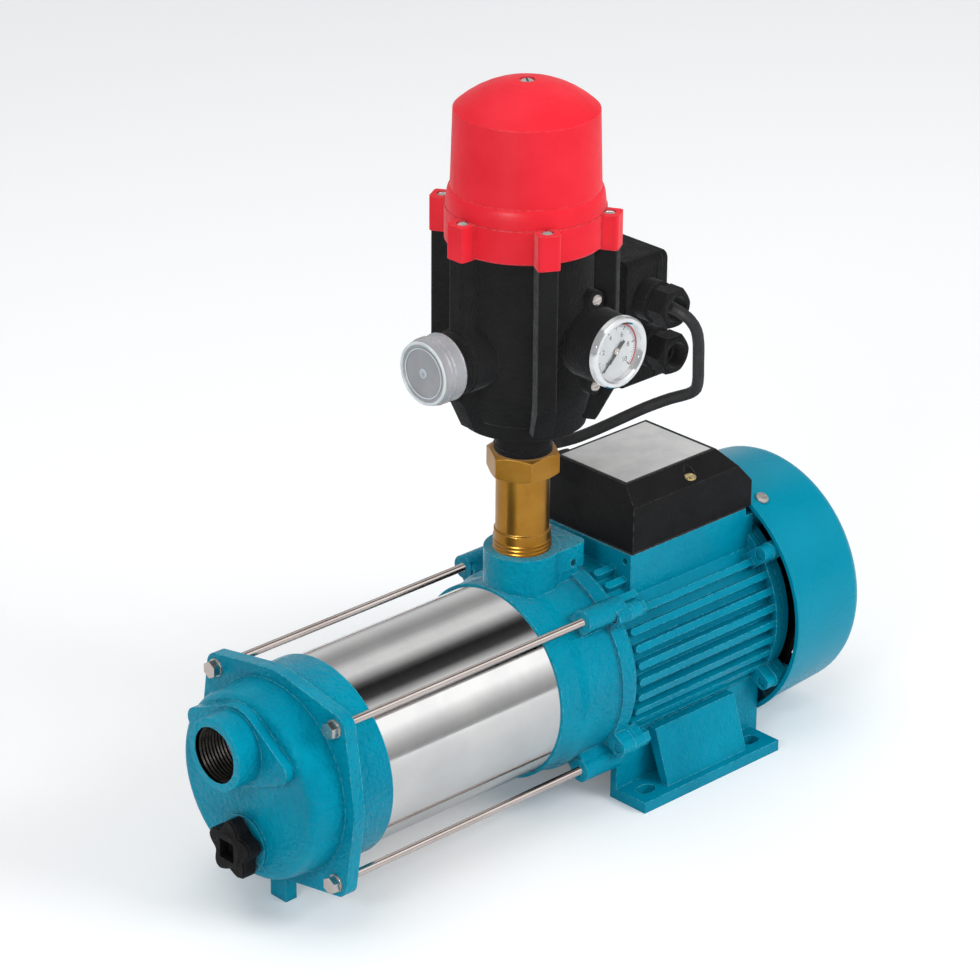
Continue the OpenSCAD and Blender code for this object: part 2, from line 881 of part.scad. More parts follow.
// Cast bracket between the barrel and the motor, with the outlet boss
module discharge_bracket() {
    seat_floor = barrel_rear + gasket_t;
    step = 4;
    slope = 6;
    waist = seat_floor + step;
    drum_back = bracket_back - rim_w + edge;
    thread_deep = thread_hold + 2 * step;
    shoulder_half = shoulder_w / 2;
    shoulder_lip = 2.5;
    pin_in = 9;
    pin_drop = 11.7;
    pin_r = 2.3;
    pin_deep = 5;
    passage_r = adapter_bore_d / 2 + 2 * edge;
    color("#1093ad") place() difference() {
        union() {
            turned([
                [bracket_front, 0], [bracket_front, collar_r], [waist, collar_r],
                [waist + slope, bracket_d / 2], [drum_back, bracket_d / 2], [drum_back, 0]
            ]);
            plate_x(bracket_back - rim_w, bracket_back)
                lobed_flange(rim_r, lug_r);
            bar_z(boss_d / 2, 0, boss_rise);
            shoulder(shoulder_half, bracket_back + shoulder_lip, rim_r + edge, boss_rise - edge);
            shoulder(shoulder_half - edge / 2, bracket_back - edge, 0, rim_r + step);
            for (sy = [-1, 1], sz = [-1, 1]) {
                arm(sy * tie_half, sz * tie_rise, norm([tie_half, tie_rise]), 2 * rod_boss_r - edge, edge, bracket_back - edge);
                translate([0, sy * tie_half, sz * tie_rise])
                    turned([
                        [0, 0], [0, rod_boss_r], [bracket_back - 2 * edge, rod_boss_r],
                        [bracket_back, rod_boss_r - 2 * edge], [bracket_back, 0]
                    ]);
            }
        }
        turned([
            [bracket_front - over, 0], [bracket_front - over, barrel_r + slip],
            [seat_floor, barrel_r + slip], [seat_floor, spigot_r], [stack_rear, spigot_r],
            [stack_rear, outlet_chamber_r], [wall_front, outlet_chamber_r], [wall_front, seal_hub_r],
            [seal_front, seal_hub_r], [seal_front, seal_r], [seal_back, seal_r],
            [seal_back, shaft_hole_r], [bracket_back - bearing_w, shaft_hole_r],
            [bracket_back - bearing_w, bearing_r + slip], [bracket_back + over, bearing_r + slip],
            [bracket_back + over, 0]
        ]);
        ring_x(frame_in_r, bearing_hub_r, wall_back, bracket_back + over);
        bar_z(passage_r, seal_hub_r + 2 * step, boss_rise);
        bar_z(pipe_r + slip, boss_rise - thread_deep, boss_rise + over);
        translate([bracket_back - pin_in, 0, boss_rise - pin_drop])
            bar_y(pin_r, -shoulder_half - over, pin_deep - shoulder_half);
        at_rods()
            bar_x(rod_d / 2 + slip, -over, rod_grip + edge);
        at_lugs()
            bar_x(lug_screw_d / 2 + slip, bracket_back - rim_w - over, bracket_back + over);
    }
}

// One foot: plate with two slots, sloping outer wall and upright inner wall
module foot() {
    plate_x = foot_reach - foot_len / 2;
    foot_out = 12.4;
    plate_out = slot_pitch_y / 2 + foot_out;
    plate_in = plate_out - foot_w;
    wall_x = foot_reach - foot_wall_len / 2 + edge;
    root = 39;
    lean = foot_wall_t * 1.4;
    difference() {
        union() {
            block([plate_x, plate_in, -shaft_h], [plate_x + foot_len, plate_out, foot_t - shaft_h]);
            block([plate_x, plate_in, -shaft_h], [cover_front - edge, plate_in + foot_wall_t, 2 * edge - root]);
            translate([wall_x + foot_wall_len, 0, 0])
                rotate([90, 0, -90])
                    linear_extrude(foot_wall_len)
                        polygon([
                            [frame_r - lean - foot_wall_t, -root], [frame_r - edge, -root],
                            [plate_out - foot_wall_t, foot_t - shaft_h - edge],
                            [plate_out - 2 * foot_wall_t - edge, foot_t - shaft_h - edge],
                            [frame_r - lean, -root - foot_wall_t]
                        ]);
        }
        for (s = [-1, 1])
            translate([foot_reach + s * slot_pitch_x / 2, slot_pitch_y / 2, 0]) {
                for (e = [-1, 1])
                    translate([e * (slot_len - slot_d) / 2, 0, 0])
                        bar_z(slot_d / 2, -shaft_h - over, foot_t - shaft_h + over);
                block([(slot_d - slot_len) / 2, -slot_d / 2, -shaft_h - over],
                      [(slot_len - slot_d) / 2, slot_d / 2, foot_t - shaft_h + over]);
            }
    }
}

// Cooling rib with a round front end, standing on the frame at an angle from level
module rib(angle, x0, x1) {
    rotate([angle, 0, 0]) {
        block([x0 + rib_t / 2, frame_r - edge, -rib_t / 2], [x1, frame_r + rib_h, rib_t / 2]);
        translate([x0 + rib_t / 2, 0, 0])
            bar_y(rib_t / 2, frame_r - edge, frame_r + rib_h);
    }
}

// Cast motor frame with ribs, box pad and feet
module motor_frame() {
    rib_front = frame_front + rib_t;
    rib_back = frame_rear - rib_t;
    pad_back = boxpad_front + boxpad_len;
    pad_lip = frame_r + rib_h + edge;
    window_in = 12;
    window_share = 0.48;
    window_wall = 6;
    step = (rib_high - rib_low) / (rib_count - 1);
    belly_step = (belly_high - belly_low) / (belly_rib_count - 1);
    short_ribs = 3;
    hole_r = 2;
    hole_drop = 5;
    hole_deep = 12;
    front_t = 3;
    front_lip = 2.2;
    rear_t = 4.5;
    lug_neck = edge / 2;
    color("#1093ad") place() difference() {
        union() {
            bar_x(frame_r, frame_front + edge, frame_rear - edge);
            plate_x(frame_front, frame_front + front_t)
                lobed_flange(rim_r - front_lip, lug_r);
            plate_x(frame_rear - rear_t, frame_rear)
                lobed_flange(frame_r + rib_h + lug_neck, lug_r);
            plate_x(frame_front + edge, frame_front + front_lug)
                lobed_flange(frame_r - edge, lug_r - lug_neck);
            plate_x(frame_rear - rear_lug, frame_rear - edge)
                lobed_flange(frame_r - edge, lug_r - lug_neck);
            for (s = [0, 1])
                mirror([0, s, 0]) {
                    for (i = [0:rib_count - 1])
                        rib(rib_low + step * i, rib_front, rib_back);
                    for (i = [1:short_ribs])
                        rib(rib_high + step * i, rib_front, boxpad_front + edge);
                    foot();
                }
            for (i = [0:belly_rib_count - 1])
                rib(belly_low + belly_step * i, rib_front, rib_back);
            translate([0, tbox_half, 0])
                rotate([90, 0, 0])
                    linear_extrude(tbox_w)
                        polygon([
                            [boxpad_front, 0], [frame_rear - edge, 0], [frame_rear - edge, pad_lip],
                            [pad_back, pad_lip], [pad_back, boxpad_rise], [boxpad_front, boxpad_rise]
                        ]);
        }
        bar_x(frame_in_r, frame_front - over, frame_rear + over);
        block([boxpad_front + window_in, window_wall - tbox_half, 0],
              [boxpad_front + window_in + tbox_len * window_share, -2 * edge, boxpad_rise + over]);
        translate([boxpad_front, hole_drop - tbox_half, boxpad_rise - hole_drop])
            bar_x(hole_r, -over, hole_drop);
        for (s = [-1, 1])
            translate([box_screw_x, s * box_screw_y, 0])
                bar_z(box_screw_r, boxpad_rise - hole_deep, boxpad_rise + over);
        at_lugs() {
            bar_x(lug_screw_d / 2 + slip, frame_front - over, frame_front + front_lug + over);
            bar_x(lug_screw_d / 2 + slip, frame_rear - rear_lug - over, frame_rear + over);
        }
    }
}

// Laminated stator core
module stator_core() {
    color("#7c7f84") place()
        ring_x(frame_in_r - slip, core_bore_r, core_front, core_back);
}

// Copper end turns on both sides of the stator
module stator_windings() {
    slot_wall = 6;
    out_r = frame_in_r - slot_wall;
    in_r = core_bore_r + slot_wall;
    soft = slot_wall / 2;
    color("#b4642d") place() for (x0 = [core_front - winding_len, core_back])
        turned([
            [x0, in_r + soft], [x0, out_r - soft], [x0 + soft, out_r], [x0 + winding_len - soft, out_r],
            [x0 + winding_len, out_r - soft], [x0 + winding_len, in_r + soft],
            [x0 + winding_len - soft, in_r], [x0 + soft, in_r]
        ]);
}

// Rotor core with its cast end rings
module rotor_core() {
    rotor_r = core_bore_r - air;
    ring_w = 7;
    color("#8d9096") place() turned([
        [core_front - ring_w, rotor_shaft_r + slip], [core_front - ring_w, rotor_r - ring_w],
        [core_front, rotor_r - ring_w], [core_front, rotor_r], [core_back, rotor_r],
        [core_back, rotor_r - ring_w], [core_back + ring_w, rotor_r - ring_w],
        [core_back + ring_w, rotor_shaft_r + slip]
    ]);
}

// Places its child at the front of each ball bearing
module at_bearings() {
    for (x = [bracket_back - bearing_w, rear_bearing_front])
        translate([x, 0, 0])
            children();
}

ball_share = 0.27;
race_share = 0.62;
ball_r = (bearing_r - journal_r) * ball_share;
ball_ring_r = (bearing_r + journal_r) / 2;
race_r = ball_r + 2 * run;

// Outer rings of the two ball bearings
module bearing_outer_rings() {
    color("#b4b8bd") place() at_bearings() difference() {
        ring_x(bearing_r, ball_ring_r + ball_r * race_share, 0, bearing_w);
        translate([bearing_w / 2, 0, 0])
            rotate([0, 90, 0])
                rotate_extrude()
                    translate([ball_ring_r, 0])
                        circle(r = race_r + run);
    }
}

// Inner rings of the two ball bearings
module bearing_inner_rings() {
    color("#b4b8bd") place() at_bearings() difference() {
        ring_x(ball_ring_r - ball_r * race_share, journal_r + slip, 0, bearing_w);
        translate([bearing_w / 2, 0, 0])
            rotate([0, 90, 0])
                rotate_extrude()
                    translate([ball_ring_r, 0])
                        circle(r = race_r);
    }
}

// Balls of the two bearings
module bearing_balls() {
    ball_count = 8;
    color("#d0d3d7") place() at_bearings()
        for (i = [0:ball_count - 1])
            rotate([360 * i / ball_count, 0, 0])
                translate([bearing_w / 2, 0, ball_ring_r])
                    sphere(r = ball_r);
}

// Rear end shield with the bearing hub and the arms that hold the fan cover
module end_shield() {
    arm_w = 11;
    arm_past = 5;
    arm_end = cover_screw_x + arm_past;
    arm_r = cover_front_r - fancover_t - edge;
    arm_foot = frame_r - arm_past;
    rim = frame_r + rib_h;
    soft = 2;
    lip = 4;
    hub_back = shield_back + lip;
    color("#1093ad") place() difference() {
        union() {
            plate_x(frame_rear, frame_rear + shield_flange_t)
                lobed_flange(rim - edge, lug_r);
            turned([
                [frame_rear + edge, 0], [frame_rear + edge, rim], [shield_back - soft, rim],
                [shield_back, rim - soft], [shield_back, bearing_hub_r], [hub_back, bearing_hub_r], [hub_back, 0]
            ]);
            bar_x(bearing_hub_r, rear_bearing_front - soft, shield_back - edge);
            bar_x(frame_in_r - slip, frame_rear - bearing_setback, frame_rear + 2 * edge);
            at_cover_screws()
                translate([0, arm_w / 2, 0])
                    rotate([90, 0, 0])
                        linear_extrude(arm_w)
                            polygon([
                                [frame_rear + edge, arm_foot], [arm_end, arm_foot], [arm_end, arm_r],
                                [frame_rear + edge + soft, arm_r], [frame_rear + edge, arm_r - soft]
                            ]);
        }
        bar_x(bearing_r + slip, rear_bearing_front - soft - over, rear_bearing_front + bearing_w + slip);
        bar_x(shaft_hole_r, frame_rear, hub_back + over);
        ring_x(frame_in_r - lip, bearing_hub_r, rear_bearing_front - lip, frame_rear + lip);
        at_lugs()
            bar_x(lug_screw_d / 2 + slip, frame_rear - over, frame_rear + shield_flange_t + over);
        at_cover_screws()
            translate([cover_screw_x, 0, 0])
                bar_z(cover_screw_r - slip, frame_r, arm_r + over);
    }
}

// Screws that hold the frame to the bracket and the end shield to the frame
module motor_screws() {
    head_h = 4;
    head_share = 0.86;
    head_r = lug_screw_d * head_share;
    color("#c2c5c9") place() at_lugs() {
        bar_x(lug_screw_d / 2, bracket_back - rim_w + edge, frame_front + front_lug + edge);
        translate([frame_front + front_lug, 0, 0])
            rotate([0, 90, 0])
                cylinder(r = head_r, h = head_h, $fn = 6);
        bar_x(lug_screw_d / 2, frame_rear - rear_lug + edge, frame_rear + shield_flange_t + edge);
        translate([frame_rear + shield_flange_t, 0, 0])
            rotate([0, 90, 0])
                cylinder(r = head_r, h = head_h, $fn = 6);
    }
}

// Cooling fan on the rear end of the shaft
module fan() {
    hub_wall = 6;
    hub_out = journal_r + hub_wall;
    disc_in = 14;
    disc_t = 2.4;
    blade_w = 2.2;
    color("#2a2d31") place() difference() {
        union() {
            bar_x(hub_out, fan_front, fan_front + fan_hub_len);
            bar_x(fan_r - disc_in, fan_front, fan_front + disc_t);
            for (i = [0:fan_blades - 1])
                rotate([360 * i / fan_blades, 0, 0])
                    block([fan_front + disc_t / 2, -blade_w / 2, hub_out - edge],
                          [fan_front + fan_hub_len - edge, blade_w / 2, fan_r]);
        }
        bar_x(journal_r + slip, fan_front - over, fan_front + fan_hub_len + over);
    }
}

// Sheet cover over the fan, with ring slots in its closed end
module fan_cover() {
    corner = [cover_back - fancover_round, cover_back_r - fancover_round];
    slot_rings = 6;
    slot_first_r = 14;
    slot_w = 5;
    slot_step = (cover_back_r - fancover_round - slot_first_r) / slot_rings;
    spokes = 6;
    spoke_w = 5;
    lip = 1.2;
    color("#1093ad") place() difference() {
        turned(concat(
            [
                [cover_front, cover_front_r - fancover_t], [cover_front, cover_front_r + lip],
                [cover_front + 2 * lip, cover_front_r + lip], [cover_front + 3 * lip, cover_front_r]
            ],
            bend(corner, fancover_round, 90, 0),
            [[cover_back, 0], [cover_back - fancover_t, 0]],
            bend(corner, fancover_round - fancover_t, 0, 90)
        ));
        for (i = [0:slot_rings - 1])
            difference() {
                ring_x(slot_first_r + slot_step * i + slot_w, slot_first_r + slot_step * i,
                       cover_back - fancover_round / 2, cover_back + over);
                for (k = [0:spokes - 1])
                    rotate([360 * k / spokes + 180 / spokes * (i % 2), 0, 0])
                        block([cover_back - fancover_round, -spoke_w / 2, 0], [cover_back + 2 * over, spoke_w / 2, cover_back_r]);
            }
        at_cover_screws()
            translate([cover_screw_x, 0, 0])
                bar_z(cover_screw_r + slip, cover_back_r - 2 * slot_w, cover_front_r + 2 * lip);
    }
}

// Screws through the rim of the fan cover
module fan_cover_screws() {
    head_r = 4;
    head_h = 2.4;
    color("#c2c5c9") place() at_cover_screws()
        translate([cover_screw_x, 0, 0]) {
            bar_z(cover_screw_r - 2 * slip, cover_back_r - 2 * head_r, cover_front_r + edge);
            translate([0, 0, cover_front_r])
                spun([[0, 0], [head_r, 0], [head_r, head_h / 2], [head_r - head_h / 2, head_h], [0, head_h]]);
        }
}

// Side outline of the terminal box, drawn in by a wall thickness
module tbox_side(wall) {
    floor = tbox_floor - (wall > 0 ? over : 0);
    polygon([
        [tbox_front + wall, floor], [tbox_front + wall, tbox_top - tbox_shoulder],
        [tbox_front + 2 * edge + wall, tbox_top - wall], [tbox_back - tbox_slope_run, tbox_top - wall],
        [tbox_back - wall, tbox_top - tbox_slope_drop - wall / 2], [tbox_back - wall, floor]
    ]);
}

// Front outline of the terminal box, drawn in by a wall thickness
module tbox_end(wall) {
    side = tbox_half - wall;
    top = tbox_half - tbox_bevel - wall / 2;
    polygon([
        [-side, tbox_floor - over], [-side, tbox_top - tbox_shoulder], [-top, tbox_top - wall],
        [top, tbox_top - wall], [side, tbox_top - tbox_shoulder], [side, tbox_floor - over]
    ]);
}

// Block with the two outlines of the terminal box
module tbox_form(wall) {
    intersection() {
        translate([0, tbox_w, 0])
            rotate([90, 0, 0])
                linear_extrude(2 * tbox_w)
                    tbox_side(wall);
        rotate([90, 0, 90])
            linear_extrude(tbox_back + tbox_len)
                tbox_end(wall);
    }
}

// Black cover of the motor's terminals
module terminal_box() {
    post_wall = 4;
    color("#1b1b1d") place() difference() {
        union() {
            difference() {
                tbox_form(0);
                tbox_form(tbox_wall);
            }
            intersection() {
                for (s = [-1, 1])
                    translate([box_screw_x, s * box_screw_y, 0])
                        bar_z(box_screw_r + post_wall, tbox_floor, tbox_top);
                tbox_form(0);
            }
        }
        for (s = [-1, 1])
            translate([box_screw_x, s * box_screw_y, 0]) {
                bar_z(box_screw_r + slip, tbox_floor - over, tbox_top);
                bar_z(2 * box_screw_r, tbox_top - box_screw_sink, tbox_top + over);
            }
        translate([box_gland_x, 0, box_gland_z])
            bar_y(gland_bore_r + slip, tbox_half - 2 * tbox_wall, tbox_half + over);
    }
}

// Gasket between the terminal box and its pad
module box_gasket() {
    band = 4;
    color("#141414") place() difference() {
        block([tbox_front, -tbox_half, boxpad_rise], [boxpad_front + boxpad_len, tbox_half, tbox_floor]);
        block([tbox_front + band, band - tbox_half, boxpad_rise - over],
              [boxpad_front + boxpad_len - band, tbox_half - band, tbox_floor + over]);
        for (s = [-1, 1])
            translate([box_screw_x, s * box_screw_y, 0])
                bar_z(box_screw_r + slip, boxpad_rise - over, tbox_floor + over);
    }
}

// Two long screws through the terminal box
module box_screws() {
    shank = 20;
    color("#c9b98a") place() for (s = [-1, 1])
        translate([box_screw_x, s * box_screw_y, tbox_top - box_screw_sink])
            pan_screw(box_screw_r - slip, 2 * box_screw_r - 2 * slip, tbox_h - box_screw_sink + shank / 2);
}

// Terminal block on the box pad
module terminal_block() {
    block_len = 15;
    half = 21;
    h = 14;
    ways = 4;
    way_r = 3.2;
    x0 = tbox_back - tbox_slope_run - block_len / 2;
    color("#e7e2d3") place() difference() {
        block([x0, -half, boxpad_rise], [x0 + block_len, half, boxpad_rise + h]);
        for (i = [0:ways - 1])
            translate([x0 + block_len / 2, -half + (2 * i + 1) * half / ways, 0])
                bar_z(way_r, boxpad_rise + h / 2, boxpad_rise + h + over);
    }
}

// Run capacitor beside the wire window
module capacitor() {
    r = 12.5;
    can_len = 58;
    stud = 5;
    x0 = tbox_front + stud;
    x1 = x0 + can_len;
    color("#cfd2d6") place()
        translate([0, tbox_half - 2 * r + edge, boxpad_rise + r + slip])
            turned([
                [x0, 0], [x0, r - edge], [x0 + edge, r], [x1 - edge, r], [x1, r - edge],
                [x1, stud], [x1 + stud, stud], [x1 + stud, 0]
            ]);
}

// Cable gland along -Y from its seat, with a hexagon nut and an open mouth
module gland(len, throat) {
    neck = 3.4;
    bevel = 2;
    corner_r = gland_af / 2 / cos(30);
    difference() {
        union() {
            bar_y(gland_af / 2 - edge, -neck, 0);
            bar_y(gland_bore_r, -neck, gland_stem);
            intersection() {
                translate([0, -neck, 0])
                    rotate([90, 0, 0])
                        cylinder(r = corner_r, h = len - neck, $fn = 6);
                rotate([90, 0, 0])
                    spun([
                        [0, neck - over], [corner_r, neck - over], [corner_r, len - bevel],
                        [gland_af / 2 - edge, len], [0, len]
                    ]);
            }
        }
        bar_y(throat, -len - over, gland_stem + over);
        bar_y(gland_bore_r, -len - over, -2 * neck);
    }
}

// Gland on the far side of the terminal box
module box_gland() {
    color("#1b1b1d") place()
        translate([box_gland_x, tbox_half, box_gland_z])
            rotate([0, 0, 180])
                gland(gland_len, lead_d / 2 + slip);
}

// Brass adapter from the outlet boss to the controller
module brass_adapter() {
    groove = 0.9;
    thread_view = 12;
    bevel = 1.4;
    thread_foot = boss_rise - thread_hold;
    thread_top = boss_rise + thread_view;
    corner_r = adapter_af / 2 / cos(30);
    color("#c08a3a") place() difference() {
        union() {
            spun([
                [0, thread_foot], [pipe_r - edge, thread_foot], [pipe_r, thread_foot + edge], [pipe_r, thread_top],
                [pipe_r - groove, thread_top + groove], [pipe_r - groove, hex_floor + edge], [0, hex_floor + edge]
            ]);
            intersection() {
                translate([0, 0, hex_floor])
                    cylinder(r = corner_r, h = adapter_hex_h, $fn = 6);
                spun([
                    [0, hex_floor], [adapter_af / 2, hex_floor], [corner_r, hex_floor + bevel],
                    [corner_r, hex_top - bevel], [adapter_af / 2, hex_top], [0, hex_top]
                ]);
            }
        }
        bar_z(adapter_bore_d / 2, thread_foot - over, hex_top + over);
        bar_z(pipe_r + slip, hex_top - neck_hold - edge, hex_top + over);
    }
}

// Flow body of the controller: round, drawn in towards a stepped foot
module body_form() {
    under_h = 5;
    band_h = 13.5;
    low_r = body_r - taper_in;
    spun([
        [0, body_foot], [outlet_boss_r, body_foot], [low_r - edge, body_foot + under_h], [low_r, body_foot + band_h],
        [low_r + edge, body_foot + band_h + edge], [body_r, body_foot + taper_h],
        [body_r, body_top + edge], [0, body_top + edge]
    ]);
}

// Six square lugs on the circle of cap screws, between two heights
module lugs(half, reach, z0, z1, first = 0) {
    for (i = [first:5])
        rotate([0, 0, 60 * i])
            translate([0, -half, z0])
                linear_extrude(z1 - z0)
                    polygon(rounded(reach, 2 * half, lug_round));
}

// Lower half of the controller: flow body with six drawn-in posts, outlet neck and gauge seat
module controller_body() {
    post_out = cap_screw_r + post_r;
    post_low_r = 44;
    post_rise = 11;
    post_slope = 22;
    ring_w = 2;
    thread_wall = 4;
    hollow = 4;
    pad_in = 14;
    pad_drop = 8;
    screw_deep = 12;
    web_half = 5;
    gauge_hole_r = 1.6;
    color("#1f1f21") place() difference() {
        union() {
            body_form();
            intersection() {
                lugs(post_r, post_out, body_foot, body_top + edge, 1);
                spun([
                    [0, body_foot + post_rise], [post_low_r, body_foot + post_rise],
                    [post_out + edge, body_foot + post_rise + post_slope], [post_out + edge, body_top + 2 * edge],
                    [0, body_top + 2 * edge]
                ]);
            }
            translate([0, -post_r, cbox_low + cbox_h + edge])
                linear_extrude(body_top - cbox_low - cbox_h)
                    polygon(rounded(post_out, 2 * post_r, lug_round));
            block([0, pad_in - cbox_half, cbox_low + pad_drop], [cbox_back, cbox_half - pad_in, cbox_low + cbox_h - pad_drop]);
            bar_z(pipe_r, hex_top - neck_hold, body_foot + edge);
            translate([0, 0, outlet_z])
                turned([
                    [0, 0], [0, outlet_boss_r], [outlet_face + edge, outlet_boss_r], [outlet_face, outlet_boss_r - edge],
                    [outlet_face - ring_w, outlet_boss_r - edge], [outlet_face - ring_w, pipe_r + edge / 2],
                    [outlet_face - 2 * ring_w, pipe_r + edge / 2], [outlet_face - 2 * ring_w, pipe_r],
                    [outlet_end, pipe_r], [outlet_end, 0]
                ]);
            translate([gauge_x, 0, gauge_z]) {
                bar_y(gauge_d / 2, -gauge_back, 0);
                for (s = [-1, 1])
                    translate([0, 0, s * gauge_screw_up])
                        bar_y(gauge_tab_r, -gauge_back, 0);
                block([-gauge_tab_r, -gauge_back, -gauge_screw_up], [gauge_tab_r, 0, gauge_screw_up]);
            }
        }
        difference() {
            bar_z(well_r, valve_seat_z, body_top + over);
            block([-well_r - over, -web_half, guide_z], [well_r + over, web_half, guide_z + guide_t]);
        }
        bar_z(2 * body_r, body_top, body_top + 2 * edge);
        bar_z(stem_r + 2 * run, guide_z - over, guide_z + guide_t + over);
        bar_z(valve_bore_r, hex_top - neck_hold - over, valve_seat_z + over);
        translate([0, 0, outlet_z])
            bar_x(pipe_r - thread_wall, outlet_end - over, hollow - well_r);
        translate([gauge_x, 0, gauge_z]) {
            bar_y(gauge_d / 2 + slip, -2 * gauge_back, -gauge_back);
            for (s = [-1, 1])
                translate([0, 0, s * gauge_screw_up]) {
                    bar_y(gauge_hole_r, -gauge_back - over, 2 * hollow - gauge_back);
                    bar_y(gauge_tab_r + slip, -2 * gauge_back, -gauge_back);
                }
        }
        for (i = [0:5])
            rotate([0, 0, 60 * i])
                translate([cap_screw_r, 0, 0])
                    bar_z(cap_screw_shank_r, body_top - screw_deep, body_top + over);
    }
}

// Rubber diaphragm clamped between body and cap
module diaphragm() {
    bead_in = 5;
    bead_w = 2;
    bead_h = 1.4;
    color("#171717") place() translate([0, 0, body_top]) spun([
        [0, 0], [body_r - edge, 0], [body_r - edge, membrane_t], [well_r - bead_in, membrane_t],
        [well_r - bead_in - bead_w, membrane_t + bead_h], [well_r - bead_in - 2 * bead_w, membrane_t], [0, membrane_t]
    ]);
}

// Red cap with six screw lugs and a low dome
module controller_cap() {
    flange_r = capflange_d / 2;
    low_r = cap_low_d / 2;
    top_r = cap_top_d / 2;
    bulge = 2.4;
    bulge_h = 11;
    boss_r = 6;
    boss_drop = 8;
    sink_r = 4.6;
    screw_seat = 2;
    screw_seat_r = 3.6;
    dome_r = (pow(top_r, 2) + pow(dome_h, 2)) / (2 * dome_h);
    dome_lean = asin(top_r / dome_r);
    dome_steps = 8;
    function dome(wall) = [for (i = [0:dome_steps])
        let (a = dome_lean * (1 - i / dome_steps)) [(dome_r - wall) * sin(a), cap_peak + (dome_r - wall) * (cos(a) - 1) - wall]];
    function swell() = [for (a = [0:15:90]) [low_r + bulge * cos(a), cap_ledge + bulge_h * sin(a)]];
    color("#ea3440") place() difference() {
        union() {
            spun(concat(
                [[0, body_top], [flange_r - edge, body_top], [flange_r, body_top + edge]],
                [[flange_r, cap_ledge - edge / 2], [low_r + bulge, cap_ledge - edge / 2]],
                swell(),
                [[top_r + edge, cap_rim - edge], [top_r, cap_rim]],
                dome(0)
            ));
            lugs(lug_half, cap_screw_r + lug_half, body_top, cap_ledge);
        }
        difference() {
            spun(concat(
                [
                    [0, body_top - over], [body_r - edge + slip, body_top - over],
                    [body_r - edge + slip, body_top + membrane_t],
                    [well_r, body_top + membrane_t], [top_r - cap_wall, cap_rim]
                ],
                dome(cap_wall)
            ));
            bar_z(boss_r, cap_rim - boss_drop, cap_peak);
        }
        bar_z(cap_screw_shank_r - slip, cap_rim - boss_drop - edge, cap_peak);
        bar_z(sink_r, cap_peak - peak_sink, cap_peak + over);
        for (i = [0:5])
            rotate([0, 0, 60 * i])
                translate([cap_screw_r, 0, 0]) {
                    bar_z(cap_screw_shank_r + slip, body_top - over, cap_ledge + over);
                    bar_z(screw_seat_r, cap_ledge - screw_seat, cap_ledge + over);
                }
    }
}

// Pan-head screw standing on Z with a slot
module pan_screw(shank_r, head_r, len) {
    head_h = 2;
    slot_half = 0.4;
    dome_share = 0.7;
    difference() {
        union() {
            bar_z(shank_r, -len, edge);
            spun([[0, 0], [head_r, 0], [head_r, head_h / 2], [head_r * dome_share, head_h], [0, head_h]]);
        }
        block([-head_r - over, -slot_half, head_h - 2 * slot_half], [head_r + over, slot_half, head_h + over]);
    }
}

// Screws of the cap: six in the lugs, one in the middle of the dome
module cap_screws() {
    seat = 2;
    head_r = 3.3;
    peak_head_r = 4.2;
    grip = 8;
    color("#d7cfae") place() {
        for (i = [0:5])
            rotate([0, 0, 60 * i])
                translate([cap_screw_r, 0, cap_ledge - seat])
                    pan_screw(cap_screw_shank_r - slip, head_r, capflange_h + grip);
        translate([0, 0, cap_peak - peak_sink])
            pan_screw(cap_screw_shank_r - 2 * slip, peak_head_r, grip + seat);
    }
}

// Spring-loaded valve disc that lifts when water flows
module flow_valve() {
    skirt = 6;
    seat = valve_seat_z + 2 * slip;
    guide_end = guide_z + guide_t + valve_lap;
    color("#d8dadd") place() spun([
        [0, valve_seat_z - skirt], [valve_bore_r - 2 * edge, valve_seat_z - skirt], [valve_bore_r - 2 * edge, seat],
        [valve_bore_r + valve_lap, seat], [valve_bore_r + valve_lap, valve_seat_z + valve_t],
        [stem_r, valve_seat_z + valve_t], [stem_r, guide_end], [0, guide_end]
    ]);
}

// Spring between the valve disc and its guide
module valve_spring() {
    r = 7;
    wire = 1.4;
    color("#c4c7cb") place() difference() {
        bar_z(r, valve_seat_z + valve_t, guide_z);
        bar_z(r - wire, valve_seat_z + valve_t - over, guide_z + over);
    }
}

// Protective cap pushed over the outlet thread
module outlet_cap() {
    r = outcap_d / 2;
    wall = r - pipe_r - run;
    floor_t = 1.6;
    face = outlet_end - floor_t;
    dish = 0.6;
    dish_in = 4;
    nub_r = 2.6;
    waist = 0.7;
    ring_w = 0.5;
    ring_shares = [0.32, 0.52, 0.97];
    color("#b7babd") place() translate([0, 0, outlet_z]) turned(concat(
        [[face + dish / 2, 0], [face + dish / 2, nub_r], [face + dish, nub_r + dish], [face + dish, r - dish_in], [face, r - dish_in + dish]],
        bend([face + 2 * edge, r - waist - 2 * edge], 2 * edge, 180, 90),
        [for (u = ring_shares, k = [-1, 0, 1]) [face + outcap_len * u + ring_w * k, r - (k == 0 ? 0 : waist)]],
        [
            [face + outcap_len, r - waist], [face + outcap_len, r - wall],
            [outlet_end - slip, r - wall], [outlet_end - slip, 0]
        ]
    ));
}

// Cup that carries the gauge
module gauge_case() {
    r = gauge_d / 2 - edge / 2;
    wall = 2;
    floor_t = 3;
    hole_r = 1.8;
    tab = gauge_tab_r - slip;
    color("#1b1b1d") place() translate([gauge_x, -gauge_back, gauge_z]) difference() {
        union() {
            bar_y(r, -gauge_depth, 0);
            for (s = [-1, 1])
                translate([0, 0, s * gauge_screw_up])
                    bar_y(tab, -gauge_tab_t, 0);
            block([-tab, -gauge_tab_t, -gauge_screw_up], [tab, 0, gauge_screw_up]);
        }
        bar_y(r - wall, -gauge_depth - over, -floor_t);
        for (s = [-1, 1])
            translate([0, 0, s * gauge_screw_up])
                bar_y(hole_r, -gauge_tab_t - over, over);
    }
}

